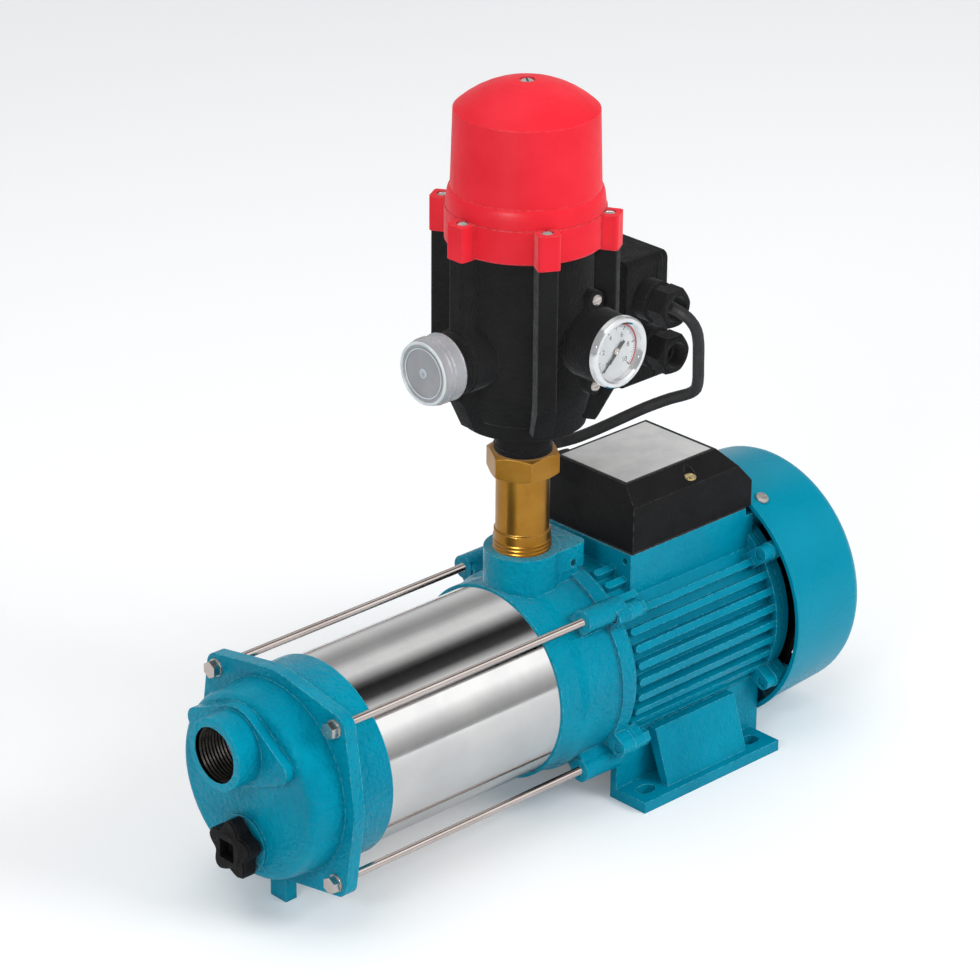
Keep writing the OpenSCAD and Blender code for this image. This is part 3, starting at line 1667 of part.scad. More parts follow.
gauge_face = -gauge_back - gauge_depth;
dial_t = 1;
bezel_w = 2.6;
bezel_lap = 1.6;
dial_r = gauge_d / 2 - bezel_w;
bezel_face = -gauge_face + bezel_depth;

// Bright bezel round the dial
module gauge_bezel() {
    lip = 1.2;
    color("#e3e5e7") place() translate([gauge_x, 0, gauge_z]) rotate([90, 0, 0]) spun([
        [dial_r - bezel_lap, bezel_face - lip], [dial_r - bezel_lap + lip, bezel_face],
        [gauge_d / 2 - edge, bezel_face], [gauge_d / 2, bezel_face - edge],
        [gauge_d / 2, -gauge_face], [dial_r - bezel_lap, -gauge_face]
    ]);
}

// Dial disc in the mouth of the case
module gauge_dial() {
    color("#f4f4f2") place() translate([gauge_x, gauge_face, gauge_z]) difference() {
        bar_y(dial_r, slip, slip + dial_t);
        bar_y(edge + run, 0, 2 * dial_t);
    }
}

// Pointer with its tail and spindle
module gauge_pointer() {
    short = 4;
    len = dial_r - short;
    tail = 6;
    tip_half = 0.25;
    root_half = 0.9;
    tail_half = 1.3;
    t = 0.5;
    lift = 0.5;
    color("#111111") place() translate([gauge_x, gauge_face, gauge_z]) rotate([0, -45, 0]) union() {
        bar_y(edge, -lift - t, dial_t);
        bar_y(2 * edge, -lift - t - slip, -lift);
        translate([0, -lift, 0])
            rotate([90, 0, 0])
                linear_extrude(t)
                    polygon([
                        [-len, tip_half], [0, root_half], [tail, tail_half],
                        [tail, -tail_half], [0, -root_half], [-len, -tip_half]
                    ]);
    }
}

// Clear disc in front of the pointer
module gauge_lens() {
    lens_t = 1;
    back = -bezel_depth + 2 * lens_t;
    color("#dfeaf0", 0.3) place() translate([gauge_x, gauge_face, gauge_z])
        bar_y(dial_r - bezel_lap - slip, back - lens_t, back);
}

// Screws of the gauge case
module gauge_screws() {
    shank_r = 1.45;
    head_r = 3;
    shank = 11;
    color("#d7d9dc") place() for (s = [-1, 1])
        translate([gauge_x, -gauge_back - gauge_tab_t, gauge_z + s * gauge_screw_up])
            rotate([90, 0, 0])
                pan_screw(shank_r, head_r, shank);
}

// Slab of the control box with round corners, between x0 and x1
module cbox_slab(x0, x1) {
    plate_x(x0, x1)
        translate([-cbox_half, cbox_low])
            polygon(rounded(cbox_w, cbox_h, cbox_round));
}

// Housing of the controller's electrics, with two gland collars on its near side
module control_box() {
    band_h = 6.3;
    step = 0.8;
    color("#1f1f21") place() difference() {
        union() {
            difference() {
                cbox_slab(cbox_back, cbox_front);
                for (s = [0, 1])
                    mirror([0, s, 0])
                        block([cbox_back - over, cbox_half - step, cbox_low - over],
                              [cbox_front - cbox_lid_t, cbox_half + over, cbox_low + cbox_h - band_h]);
            }
            for (z = [gland_high, gland_high - gland_pitch])
                translate([gland_x, 0, z])
                    bar_y(gland_collar_r, -cbox_half - gland_collar_h, -cbox_half + cbox_wall);
        }
        cbox_slab(cbox_front, cbox_front + 2 * cbox_lid_t);
        block([cbox_back + cbox_wall, -cbox_half + cbox_wall, cbox_low + cbox_wall],
              [cbox_front + over, cbox_half - cbox_wall, cbox_low + cbox_h - cbox_wall]);
        for (z = [gland_high, gland_high - gland_pitch])
            translate([gland_x, 0, z])
                bar_y(gland_bore_r + slip, -cbox_half - gland_collar_h - over, -cbox_half + 2 * cbox_wall);
    }
}

// Cover of the control box with the restart button's hole
module control_cover() {
    ring_wall = 3;
    ring_deep = 8;
    color("#1f1f21") place() difference() {
        union() {
            cbox_slab(cbox_front, cbox_front + cbox_lid_t);
            translate([0, button_y, button_z])
                bar_x(button_d / 2 + ring_wall, cbox_front - ring_deep, cbox_front + edge);
        }
        translate([0, button_y, button_z])
            bar_x(button_d / 2 + run, cbox_front - ring_deep - over, cbox_front + cbox_lid_t + over);
    }
}

// Restart button in the cover
module restart_button() {
    r = button_d / 2;
    face = cbox_front + cbox_lid_t + button_proud;
    color("#c9252c") place() translate([0, button_y, button_z])
        turned([[cbox_front - button_deep, 0], [cbox_front - button_deep, r], [face - edge, r], [face, r - edge], [face, 0]]);
}

// Glands of the control box: the upper one holds the lead, the lower one is open
module cable_glands() {
    color("#1b1b1d") place() for (i = [0, 1])
        translate([gland_x, -cbox_half - gland_collar_h, gland_high - gland_pitch * i])
            gland(gland_len, i == 0 ? lead_d / 2 + slip : gland_bore_r - 2 * edge);
}

// Route of the lead from the upper gland round to the terminal box
lead_route = [
    [60, -41, 230], [60, -56, 230], [60.5, -63.5, 229], [63.5, -69, 225], [67.5, -70.5, 218], [70, -70, 209],
    [70.5, -69.5, 198], [71.5, -69, 187], [73, -67, 179], [73, -61, 174], [70, -50, 169], [64, -35, 160],
    [59, -18, 148], [57, -2, 137], [56, 15, 126], [53, 32, 118], [50, 46, 110], [50, 58, 102],
    [55, 67, 94], [64, 71, 89], [74, 69, 88], [80, 62, 88], [81, 52, 88], [81, 36, 88]
];

// Unit direction of the route at point i
function heading(p, i) = let (a = p[max(i - 1, 0)], b = p[min(i + 1, len(p) - 1)]) (b - a) / norm(b - a);

// Ring of points round the route at point i
function lead_ring(p, i, r, sides) = let (
    h = heading(p, i), u = cross(h, [0.28, 0.35, 0.89]), v = u / norm(u), w = cross(h, v)
) [for (k = [0:sides - 1]) p[i] + r * (cos(360 * k / sides) * v + sin(360 * k / sides) * w)];

// Lead from the controller to the motor
module motor_lead() {
    sides = 12;
    n = len(lead_route);
    points = [for (i = [0:n - 1]) each lead_ring(lead_route, i, lead_d / 2, sides)];
    walls = [for (i = [0:n - 2], k = [0:sides - 1]) let (a = i * sides + k, b = i * sides + (k + 1) % sides)
        [a, b, b + sides, a + sides]];
    ends = [[for (k = [0:sides - 1]) sides - 1 - k], [for (k = [0:sides - 1]) (n - 1) * sides + k]];
    color("#17171a") place()
        polyhedron(points, concat(walls, ends));
}

suction_cover();
drain_plug();
drain_seal();
barrel();
barrel_gaskets();
tie_rods();
tie_rod_washers();
impeller(0);  // impeller_1
impeller(1);  // impeller_2
impeller(2);  // impeller_3
impeller(3);  // impeller_4
impeller(4);  // impeller_5
stage_casing(0);  // stage_casing_1
stage_casing(1);  // stage_casing_2
stage_casing(2);  // stage_casing_3
stage_casing(3);  // stage_casing_4
stage_casing(4);  // stage_casing_5
shaft();
impeller_nut();
seal_seat();
seal_head();
discharge_bracket();
motor_frame();
stator_core();
stator_windings();
rotor_core();
bearing_outer_rings();
bearing_inner_rings();
bearing_balls();
end_shield();
motor_screws();
fan();
fan_cover();
fan_cover_screws();
terminal_box();
box_gasket();
box_screws();
terminal_block();
capacitor();
box_gland();
brass_adapter();
controller_body();
diaphragm();
controller_cap();
cap_screws();
flow_valve();
valve_spring();
outlet_cap();
gauge_case();
gauge_bezel();
gauge_dial();
gauge_pointer();
gauge_lens();
gauge_screws();
control_box();
control_cover();
restart_button();
cable_glands();
motor_lead();
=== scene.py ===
import json
import math
import bmesh
import bpy
from mathutils import Matrix, Vector

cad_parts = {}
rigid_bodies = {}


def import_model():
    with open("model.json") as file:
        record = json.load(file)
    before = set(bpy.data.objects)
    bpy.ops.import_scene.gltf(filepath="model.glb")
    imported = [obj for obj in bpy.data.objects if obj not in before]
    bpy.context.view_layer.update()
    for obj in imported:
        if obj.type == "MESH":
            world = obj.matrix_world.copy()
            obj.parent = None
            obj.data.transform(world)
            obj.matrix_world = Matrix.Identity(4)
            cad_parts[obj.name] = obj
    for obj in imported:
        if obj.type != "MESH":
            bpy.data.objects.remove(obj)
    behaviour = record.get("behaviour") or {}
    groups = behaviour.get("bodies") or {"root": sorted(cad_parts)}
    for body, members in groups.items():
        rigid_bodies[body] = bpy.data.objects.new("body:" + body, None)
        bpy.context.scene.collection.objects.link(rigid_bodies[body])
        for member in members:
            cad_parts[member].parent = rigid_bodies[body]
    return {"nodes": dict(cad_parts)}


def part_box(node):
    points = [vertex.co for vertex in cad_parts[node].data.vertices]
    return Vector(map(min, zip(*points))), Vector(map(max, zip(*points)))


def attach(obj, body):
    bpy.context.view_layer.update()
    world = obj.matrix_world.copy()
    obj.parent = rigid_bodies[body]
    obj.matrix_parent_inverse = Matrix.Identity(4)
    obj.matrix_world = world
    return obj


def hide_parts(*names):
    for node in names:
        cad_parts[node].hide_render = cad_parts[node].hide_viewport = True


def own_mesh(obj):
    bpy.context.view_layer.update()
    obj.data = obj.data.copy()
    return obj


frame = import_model()
nodes = frame["nodes"]
scene = bpy.context.scene
scene.view_settings.view_transform = "Standard"
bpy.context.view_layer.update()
millimetre = 0.001
controllerX = -0.09  # upright line through the adapter and the controller
portZ = 0.1084  # height of the suction port's axis
mergeDistance = 1e-6  # points nearer than this are one
print("frame loaded,", len(nodes), "nodes")

# Place, aim and lens of the camera, fitted to the castings, rods and feet
cameraView = {
    "place": (-1.555, -1.5005, 1.160), "azimuth": -43.8, "elevation": 24.7, "roll": 0.43,
    "lens": 146.94, "sensor": 36.0, "nearest": 0.05}
turn, rise, roll = (math.radians(cameraView[k]) for k in ("azimuth", "elevation", "roll"))
backward = Vector((math.sin(turn) * math.cos(rise), -math.cos(turn) * math.cos(rise), math.sin(rise)))
level = Vector((math.cos(turn), math.sin(turn), 0))
rightward = math.cos(roll) * level + math.sin(roll) * backward.cross(level)
upward = backward.cross(rightward)
cameraData = bpy.data.cameras.new("camera")
cameraData.sensor_width = cameraView["sensor"]
cameraData.lens = cameraView["lens"]
cameraData.clip_start = cameraView["nearest"]
camera = bpy.data.objects.new("camera", cameraData)
scene.collection.objects.link(camera)
cameraRows = [(rightward[i], upward[i], backward[i], cameraView["place"][i]) for i in range(3)]
camera.matrix_world = Matrix((*cameraRows, (0, 0, 0, 1)))
scene.camera = camera
print("camera set")


# A colour written as sRGB hex, in the linear values that sockets take
def linearColour(code):
    channels = [int(code[i:i + 2], 16) / 255 for i in (1, 3, 5)]
    return tuple(c / 12.92 if c <= 0.04045 else ((c + 0.055) / 1.055) ** 2.4 for c in channels) + (1.0,)


# Adds one node with its settings, socket values and links
def addNode(tree, kind, settings=None, values=None, links=None):
    made = tree.nodes.new(kind)
    for name, value in (settings or {}).items():
        setattr(made, name, value)
    for name, value in (values or {}).items():
        made.inputs[name].default_value = value
    for name, source in (links or {}).items():
        tree.links.new(source, made.inputs[name])
    return made


def newTree(name):
    material = bpy.data.materials.new(name)
    material.use_nodes = True
    material.node_tree.nodes.clear()
    return material, material.node_tree


# Socket values that turn one span of numbers into another
def spanValues(given, wanted=(0.0, 1.0)):
    return {"From Min": given[0], "From Max": given[1], "To Min": wanted[0], "To Max": wanted[1]}


# Sockets of a Mix node that mixes colours
mixFactor, mixFirst, mixSecond, mixResult = 0, 6, 7, 2

# Where a finish changes over, as shares of noise, bend or openness
spans = {
    "patch": (0.36, 0.64),  # from the first colour to the second
    "smudge": (0.3, 0.7),  # from the smoother skin to the rougher
    "bend": (0.98, 0.84),  # from a flat to an edge that gets the paler colour, rubbed wear and painted highlight
    "chips": (0.42, 0.58),  # breaks the paler edges up
    "shut": (0.85, 0.3)}  # from an open place to a hollow that gets painted shade
noises = {
    "patch": {"Detail": 5.0, "Roughness": 0.6},
    "smudge": {"Detail": 4.0, "Roughness": 0.65, "Distortion": 0.6},
    "chips": {"Scale": 0.35, "Detail": 6.0, "Roughness": 0.75},
    "grain": {"Detail": 3.0, "Roughness": 0.55}}
plainFinish = {"stretch": (1, 1, 1), "metallic": 0.0, "specular": 0.5, "tint": "#FFFFFF", "subsurface": 0.0}
edgeSamples = 4
hollowSamples = 6
seepDepth = 4  # mm that light seeps into a milky piece


# A finish from one dictionary. Patch, smudge, edge, the reach of the painted shade in hollows, and the width
# and height of each grain are in mm. Colours and roughnesses come in pairs that mingle. Edges get a paler
# colour, partly rubbed wear and partly painted highlight, and hollows get a darker colour of painted shade
def finish(name, given):
    v = {**plainFinish, **given}
    material, tree = newTree(name)
    place = addNode(tree, "ShaderNodeTexCoord").outputs["Object"]
    drawn = addNode(
        tree, "ShaderNodeMapping", values={"Scale": [s / millimetre for s in v["stretch"]]},
        links={"Vector": place}).outputs[0]
    even = addNode(
        tree, "ShaderNodeMapping", values={"Scale": [1 / millimetre] * 3}, links={"Vector": place}).outputs[0]
    patches = addNode(
        tree, "ShaderNodeTexNoise", values={"Scale": 1 / v["patch"], **noises["patch"]},
        links={"Vector": even})
    spread = addNode(
        tree, "ShaderNodeMapRange", values=spanValues(spans["patch"]),
        links={"Value": patches.outputs["Fac"]})
    shade = addNode(
        tree, "ShaderNodeMix", {"data_type": "RGBA"},
        {mixFirst: linearColour(v["colours"][0]), mixSecond: linearColour(v["colours"][1])},
        {mixFactor: spread.outputs[0]}).outputs[mixResult]
    smudges = addNode(
        tree, "ShaderNodeTexNoise", values={"Scale": 1 / v["smudge"], **noises["smudge"]},
        links={"Vector": drawn})
    rough = addNode(
        tree, "ShaderNodeMapRange", values=spanValues(spans["smudge"], v["roughness"]),
        links={"Value": smudges.outputs["Fac"]})
    edge = addNode(
        tree, "ShaderNodeBevel", {"samples": edgeSamples}, {"Radius": v["edge"] * millimetre}).outputs[0]
    # Paler colour on convex edges found by the bevel: partly rubbed wear, partly a painted highlight
    if "edgeWearAndSheen" in v:
        flat = addNode(tree, "ShaderNodeNewGeometry").outputs["Normal"]
        bend = addNode(tree, "ShaderNodeVectorMath", {"operation": "DOT_PRODUCT"}, links={0: edge, 1: flat})
        wearAndSheenMask = addNode(
            tree, "ShaderNodeMapRange", values=spanValues(spans["bend"], (0.0, v["edgeWearAndSheenAmount"])),
            links={"Value": bend.outputs["Value"]})
        chips = addNode(tree, "ShaderNodeTexNoise", values=noises["chips"], links={"Vector": even})
        broken = addNode(
            tree, "ShaderNodeMapRange", values=spanValues(spans["chips"]),
            links={"Value": chips.outputs["Fac"]})
        amount = addNode(
            tree, "ShaderNodeMath", {"operation": "MULTIPLY"},
            links={0: wearAndSheenMask.outputs[0], 1: broken.outputs[0]})
        shade = addNode(
            tree, "ShaderNodeMix", {"data_type": "RGBA"}, {mixSecond: linearColour(v["edgeWearAndSheen"])},
            {mixFactor: amount.outputs[0], mixFirst: shade}).outputs[mixResult]
    # Painted shade: a darker colour mixed in wherever ambient occlusion finds a hollow
    if "shadeInHollows" in v:
        reach, shadeColour, most = v["shadeInHollows"]
        exposed = addNode(
            tree, "ShaderNodeAmbientOcclusion", {"samples": hollowSamples}, {"Distance": reach * millimetre})
        shadeAmount = addNode(
            tree, "ShaderNodeMapRange", values=spanValues(spans["shut"], (0.0, most)),
            links={"Value": exposed.outputs["AO"]})
        shade = addNode(
            tree, "ShaderNodeMix", {"data_type": "RGBA"}, {mixSecond: linearColour(shadeColour)},
            {mixFactor: shadeAmount.outputs[0], mixFirst: shade}).outputs[mixResult]
    normal = edge
    for width, height in v["grain"]:
        grain = addNode(
            tree, "ShaderNodeTexNoise", values={"Scale": 1 / width, **noises["grain"]},
            links={"Vector": drawn})
        normal = addNode(
            tree, "ShaderNodeBump", values={"Strength": 1.0, "Distance": height * millimetre},
            links={"Height": grain.outputs["Fac"], "Normal": normal}).outputs[0]
    shader = addNode(tree, "ShaderNodeBsdfPrincipled", values={
        "Metallic": v["metallic"], "Specular IOR Level": v["specular"],
        "Specular Tint": linearColour(v["tint"]), "Subsurface Weight": v["subsurface"],
        "Subsurface Scale": seepDepth * millimetre},
        links={"Base Color": shade, "Roughness": rough.outputs[0], "Normal": normal})
    addNode(tree, "ShaderNodeOutputMaterial", links={"Surface": shader.outputs[0]})
    return material


def dress(material, *names):
    for name in names:
        mesh = nodes[name].data
        mesh.materials.clear()
        mesh.materials.append(material)


# Sand-cast iron under gloss enamel: lumpy skin that catches small glints, paler on its edges from rubbed wear
# and a painted highlight, darker in hollows from painted shade
castEnamel = finish("castEnamel", {
    "colours": ("#00829F", "#0094B0"), "patch": 60, "roughness": (0.12, 0.24), "smudge": 12, "edge": 1.0,
    "grain": ((7, 1.3), (2.8, 1.5), (1.3, 0.4)), "edgeWearAndSheen": "#7ADBEA", "edgeWearAndSheenAmount": 0.8, "specular": 0.18,
    "tint": "#4FD2EA", "shadeInHollows": (5, "#00566B", 0.35)})
# The motor casting under the same enamel, with a finer and calmer skin than the sand castings'
ribEnamel = finish("ribEnamel", {
    "colours": ("#007F9B", "#008FAB"), "patch": 70, "roughness": (0.18, 0.3), "smudge": 14, "edge": 0.8,
    "grain": ((6, 0.6), (2.0, 0.5)), "edgeWearAndSheen": "#72D5E5", "edgeWearAndSheenAmount": 0.8, "specular": 0.2, "tint": "#4FD2EA",
    "shadeInHollows": (5, "#006278", 0.2)})
# Pressed steel under the same enamel: smooth with a slight orange peel
sheetEnamel = finish("sheetEnamel", {
    "colours": ("#0087A2", "#008EAA"), "patch": 90, "roughness": (0.24, 0.34), "smudge": 24, "edge": 0.5,
    "grain": ((3.4, 0.06), (0.9, 0.02)), "edgeWearAndSheen": "#6CCBDB", "edgeWearAndSheenAmount": 0.6, "specular": 0.16,
    "tint": "#4FD2EA"})
# Mirror-rolled stainless sheet: long fine marks round the barrel and faint wiped patches
polishedStainless = finish("polishedStainless", {
    "colours": ("#C6C6C6", "#D0D0CF"), "patch": 40, "roughness": (0.07, 0.13), "smudge": 12, "edge": 0.3,
    "stretch": (1, 0.04, 0.04), "grain": ((0.5, 0.0012), (3, 0.004)), "metallic": 1.0})
# Zinc plate on steel: warm grey, slightly cloudy
zincPlate = finish("zincPlate", {
    "colours": ("#B3A9A4", "#CFC8C2"), "patch": 5, "roughness": (0.2, 0.36), "smudge": 3, "edge": 0.35,
    "grain": ((0.8, 0.003),), "metallic": 0.65, "edgeWearAndSheen": "#F4F1EC", "edgeWearAndSheenAmount": 0.8})
# Cold-drawn zinc-plated rod: fine marks along its length, a little warm
drawnRod = finish("drawnRod", {
    "colours": ("#BDB1AC", "#CFC5C0"), "patch": 70, "roughness": (0.2, 0.3), "smudge": 3, "edge": 0.2,
    "stretch": (0.04, 1, 1), "grain": ((0.7, 0.004),), "metallic": 1.0})
# Yellow-passivated screw heads of the terminal box: pale gold, cloudy
brassPlate = finish("brassPlate", {
    "colours": ("#B79C60", "#DCC792"), "patch": 3, "roughness": (0.2, 0.34), "smudge": 2, "edge": 0.25,
    "grain": ((0.6, 0.01),), "metallic": 1.0})
# Ground steel of the shaft, bearings and valve: cool grey with fine marks round the shaft
groundSteel = finish("groundSteel", {
    "colours": ("#A9ABAE", "#BFC1C3"), "patch": 8, "roughness": (0.16, 0.26), "smudge": 4, "edge": 0.3,
    "stretch": (1, 0.1, 0.1), "grain": ((0.3, 0.002),), "metallic": 1.0})
# Stacked electrical steel, dull and dark
coreSteel = finish("coreSteel", {
    "colours": ("#5C5F63", "#6E7175"), "patch": 6, "roughness": (0.45, 0.6), "smudge": 4, "edge": 0.3,
    "stretch": (2, 0.05, 0.05), "grain": ((0.5, 0.05),), "metallic": 1.0})
# Varnished copper wire: brown and red-gold strands
copperWire = finish("copperWire", {
    "colours": ("#8C4A22", "#B5652F"), "patch": 4, "roughness": (0.25, 0.4), "smudge": 3, "edge": 0.6,
    "stretch": (0.3, 1, 1), "grain": ((0.9, 0.25),), "metallic": 1.0})
# Moulded satin nylon: fine grain, grey on its corners from rubbing and a painted highlight, black in hollows
# from painted shade
blackNylon = finish("blackNylon", {
    "colours": ("#141415", "#1D1D1E"), "patch": 30, "roughness": (0.42, 0.58), "smudge": 8, "edge": 0.7,
    "grain": ((1.6, 0.7), (0.8, 0.3)), "edgeWearAndSheen": "#5E5957", "edgeWearAndSheenAmount": 0.6, "specular": 0.09,
    "shadeInHollows": (5, "#020202", 0.75)})
# Moulded nylon of the terminal box: darker and calmer than the controller's
boxNylon = finish("boxNylon", {
    "colours": ("#0C0C0D", "#131314"), "patch": 30, "roughness": (0.46, 0.6), "smudge": 10, "edge": 0.8,
    "grain": ((1.6, 0.2), (0.8, 0.1)), "edgeWearAndSheen": "#847D78", "edgeWearAndSheenAmount": 0.7, "specular": 0.13})
# Matte rubber of the sheath and seals
blackRubber = finish("blackRubber", {
    "colours": ("#1B1B1C", "#29292A"), "patch": 9, "roughness": (0.5, 0.7), "smudge": 5, "edge": 0.4,
    "grain": ((2.2, 0.06), (0.5, 0.02)), "specular": 0.35})
# Moulded red nylon: bright, with a fine matt grain
redNylon = finish("redNylon", {
    "colours": ("#E61F2F", "#EE2A3A"), "patch": 40, "roughness": (0.36, 0.5), "smudge": 9, "edge": 0.8,
    "grain": ((1.3, 0.07), (0.6, 0.04)), "edgeWearAndSheen": "#FA8E95", "edgeWearAndSheenAmount": 0.6, "specular": 0.14,
    "shadeInHollows": (4, "#A01220", 0.5)})
# Turned brass bar: brown gold, paler on its edges from rubbing and a painted highlight, with marks round it
turnedBrass = finish("turnedBrass", {
    "colours": ("#966722", "#AA7B33"), "patch": 30, "roughness": (0.28, 0.38), "smudge": 22, "edge": 0.5,
    "stretch": (0.15, 0.15, 1), "grain": ((0.5, 0.01), (2.4, 0.02)), "metallic": 1.0,
    "edgeWearAndSheen": "#F0CE86", "edgeWearAndSheenAmount": 0.7})
# Soft milky polyethylene that light seeps into
milkyPolyethylene = finish("milkyPolyethylene", {
    "colours": ("#98999E", "#A3A4A9"), "patch": 14, "roughness": (0.36, 0.46), "smudge": 9, "edge": 0.6,
    "grain": ((6, 0.03), (0.7, 0.006)), "edgeWearAndSheen": "#F1F2F3", "edgeWearAndSheenAmount": 1.0, "subsurface": 0.35})
# The cap's rim, ring and nub, thicker and so paler than its web
milkyRim = finish("milkyRim", {
    "colours": ("#D9DADD", "#E6E7E9"), "patch": 9, "roughness": (0.28, 0.4), "smudge": 6, "edge": 0.4,
    "grain": ((2.5, 0.02),), "subsurface": 0.3})
# White enamel of the dial, satin
dialEnamel = finish("dialEnamel", {
    "colours": ("#C9CDD0", "#D6D9DB"), "patch": 9, "roughness": (0.3, 0.42), "smudge": 6, "edge": 0.2,
    "grain": ((1.0, 0.01),)})
# Black and red printing ink, dull on the dial. The black also paints the shade of the slot in the screw at
# the cap's peak
blackInkAndSlotShade = finish("blackInkAndSlotShade", {
    "colours": ("#101012", "#1B1B1D"), "patch": 2, "roughness": (0.4, 0.55), "smudge": 2, "edge": 0.05,
    "grain": ((0.5, 0.004),)})
redInk = finish("redInk", {
    "colours": ("#A81524", "#BC1C2B"), "patch": 2, "roughness": (0.4, 0.55), "smudge": 2, "edge": 0.05,
    "grain": ((0.5, 0.004),)})
# Bright plating of the gauge's ring: a pale mirror
brightPlate = finish("brightPlate", {
    "colours": ("#D9DBDD", "#E6E8E9"), "patch": 6, "roughness": (0.06, 0.14), "smudge": 4, "edge": 0.5,
    "grain": ((1.5, 0.006),), "metallic": 1.0})
# White-coated aluminium plate with handling marks
whitePlate = finish("whitePlate", {
    "colours": ("#C4C4C5", "#D2D2D1"), "patch": 13, "roughness": (0.3, 0.46), "smudge": 6, "edge": 0.2,
    "grain": ((1.6, 0.012),)})
# Threads cut in bare iron, oiled and dark
cutIron = finish("cutIron", {
    "colours": ("#1F1E1C", "#353330"), "patch": 4, "roughness": (0.25, 0.4), "smudge": 3, "edge": 0.3,
    "grain": ((0.6, 0.02),), "metallic": 1.0})
# Glass-filled moulding of the stages, the seal's seat and the parts inside the boxes: beige and dull
beigeMoulding = finish("beigeMoulding", {
    "colours": ("#C3BBA6", "#D2CBB8"), "patch": 12, "roughness": (0.42, 0.58), "smudge": 7, "edge": 0.5,
    "grain": ((1.1, 0.03),)})
stages = range(1, 6)
dress(castEnamel, "suction_cover", "discharge_bracket", "motor_screws")
dress(ribEnamel, "motor_frame", "end_shield")
dress(sheetEnamel, "fan_cover")
dress(polishedStainless, "barrel")
dress(drawnRod, "tie_rods")
dress(zincPlate, "tie_rod_washers", "cap_screws", "fan_cover_screws", "impeller_nut", "gauge_screws")
dress(brassPlate, "box_screws")
dress(groundSteel, "shaft", "valve_spring", "flow_valve")
dress(groundSteel, "bearing_outer_rings", "bearing_inner_rings", "bearing_balls")
dress(coreSteel, "stator_core", "rotor_core")
dress(copperWire, "stator_windings")
dress(blackNylon, "controller_body", "control_box", "control_cover", "cable_glands", "box_gland")
dress(blackNylon, "gauge_case", "drain_plug", "fan")
dress(boxNylon, "terminal_box")
dress(blackRubber, "box_gasket", "drain_seal", "barrel_gaskets", "seal_head", "diaphragm", "motor_lead")
dress(redNylon, "controller_cap", "restart_button")
dress(turnedBrass, "brass_adapter")
dress(milkyPolyethylene, "outlet_cap")
dress(dialEnamel, "gauge_dial")
dress(blackInkAndSlotShade, "gauge_pointer")
dress(brightPlate, "gauge_bezel")
dress(beigeMoulding, "capacitor", "terminal_block", "seal_seat")
dress(beigeMoulding, *["impeller_%d" % i for i in stages], *["stage_casing_%d" % i for i in stages])

# Clear moulded lens: light passes straight through, with a faint mirror on top
lens = {"smear": 90.0, "detail": 4.0, "roughness": (0.02, 0.12), "mirror": 0.05}
lensMaterial, lensTree = newTree("clearLens")
lensPlace = addNode(lensTree, "ShaderNodeTexCoord").outputs["Object"]
lensSmear = addNode(
    lensTree, "ShaderNodeTexNoise", values={"Scale": lens["smear"], "Detail": lens["detail"]},
    links={"Vector": lensPlace})
lensRough = addNode(
    lensTree, "ShaderNodeMapRange", values=spanValues((0.0, 1.0), lens["roughness"]),
    links={"Value": lensSmear.outputs["Fac"]})
lensThrough = addNode(lensTree, "ShaderNodeBsdfTransparent")
lensMirror = addNode(lensTree, "ShaderNodeBsdfAnisotropic", links={"Roughness": lensRough.outputs[0]})
lensMix = addNode(
    lensTree, "ShaderNodeMixShader", values={"Fac": lens["mirror"]},
    links={1: lensThrough.outputs[0], 2: lensMirror.outputs[0]})
addNode(lensTree, "ShaderNodeOutputMaterial", links={"Surface": lensMix.outputs[0]})
dress(lensMaterial, "gauge_lens")
print("finishes made")


# Turns a bmesh into a piece that rides on a body. Edges sharper than smooth, in degrees, stay sharp
def addPiece(name, mesh, material, body, smooth=None):
    bmesh.ops.recalc_face_normals(mesh, faces=mesh.faces)
    data = bpy.data.meshes.new(name)
    mesh.to_mesh(data)
    mesh.free()
    data.materials.append(material)
    if smooth is not None:
        data.shade_smooth()
        data.set_sharp_from_angle(angle=math.radians(smooth))
    made = bpy.data.objects.new(name, data)
    scene.collection.objects.link(made)
    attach(made, body)
    return made


# A direction square to an axis that runs along X, Y or Z
def sideways(axis):
    return Vector((0, 0, 1)) if abs(axis.z) < 0.5 else Vector((1, 0, 0))


# A turned ring or disc: a profile of radius and distance ahead of a face, in mm, spun about an axis
def turnedPiece(name, v, material, body, smooth=40):
    mesh = bmesh.new()
    axis = Vector(v["axis"])
    side = sideways(axis)
    centre = Vector(v["centre"])
    corners = [
        mesh.verts.new(centre + (side * radius + axis * ahead) * millimetre)
        for radius, ahead in v["profile"]]
    bmesh.ops.spin(
        mesh, geom=[mesh.faces.new(corners)], cent=centre, axis=axis, angle=2 * math.pi,
        steps=v.get("steps", 64), use_merge=True)
    bmesh.ops.remove_doubles(mesh, verts=mesh.verts, dist=mergeDistance)
    return addPiece(name, mesh, material, body, smooth)


# The lead's sheath is welded and smoothed along its bends. Smoothing draws it in, and swell gives its
# thickness back. All in mm
lead = {"weld": 0.01, "levels": 1, "swell": 0.11}
leadWeld = nodes["motor_lead"].modifiers.new("weld", "WELD")
leadWeld.merge_threshold = lead["weld"] * millimetre
leadSmooth = nodes["motor_lead"].modifiers.new("smooth", "SUBSURF")
leadSmooth.levels = leadSmooth.render_levels = lead["levels"]
leadSwell = nodes["motor_lead"].modifiers.new("swell", "DISPLACE")
leadSwell.mid_level = 0
leadSwell.strength = lead["swell"] * millimetre

# Threads of a 1 inch pipe, in mm: the tooth's root is sunk, and its crest takes this share of the pitch
tooth = {"root": 0.15, "crest": (0.38, 0.62), "steps": 44, "smooth": 50}
pipeThread = {"radius": 16.6, "pitch": 2.309}


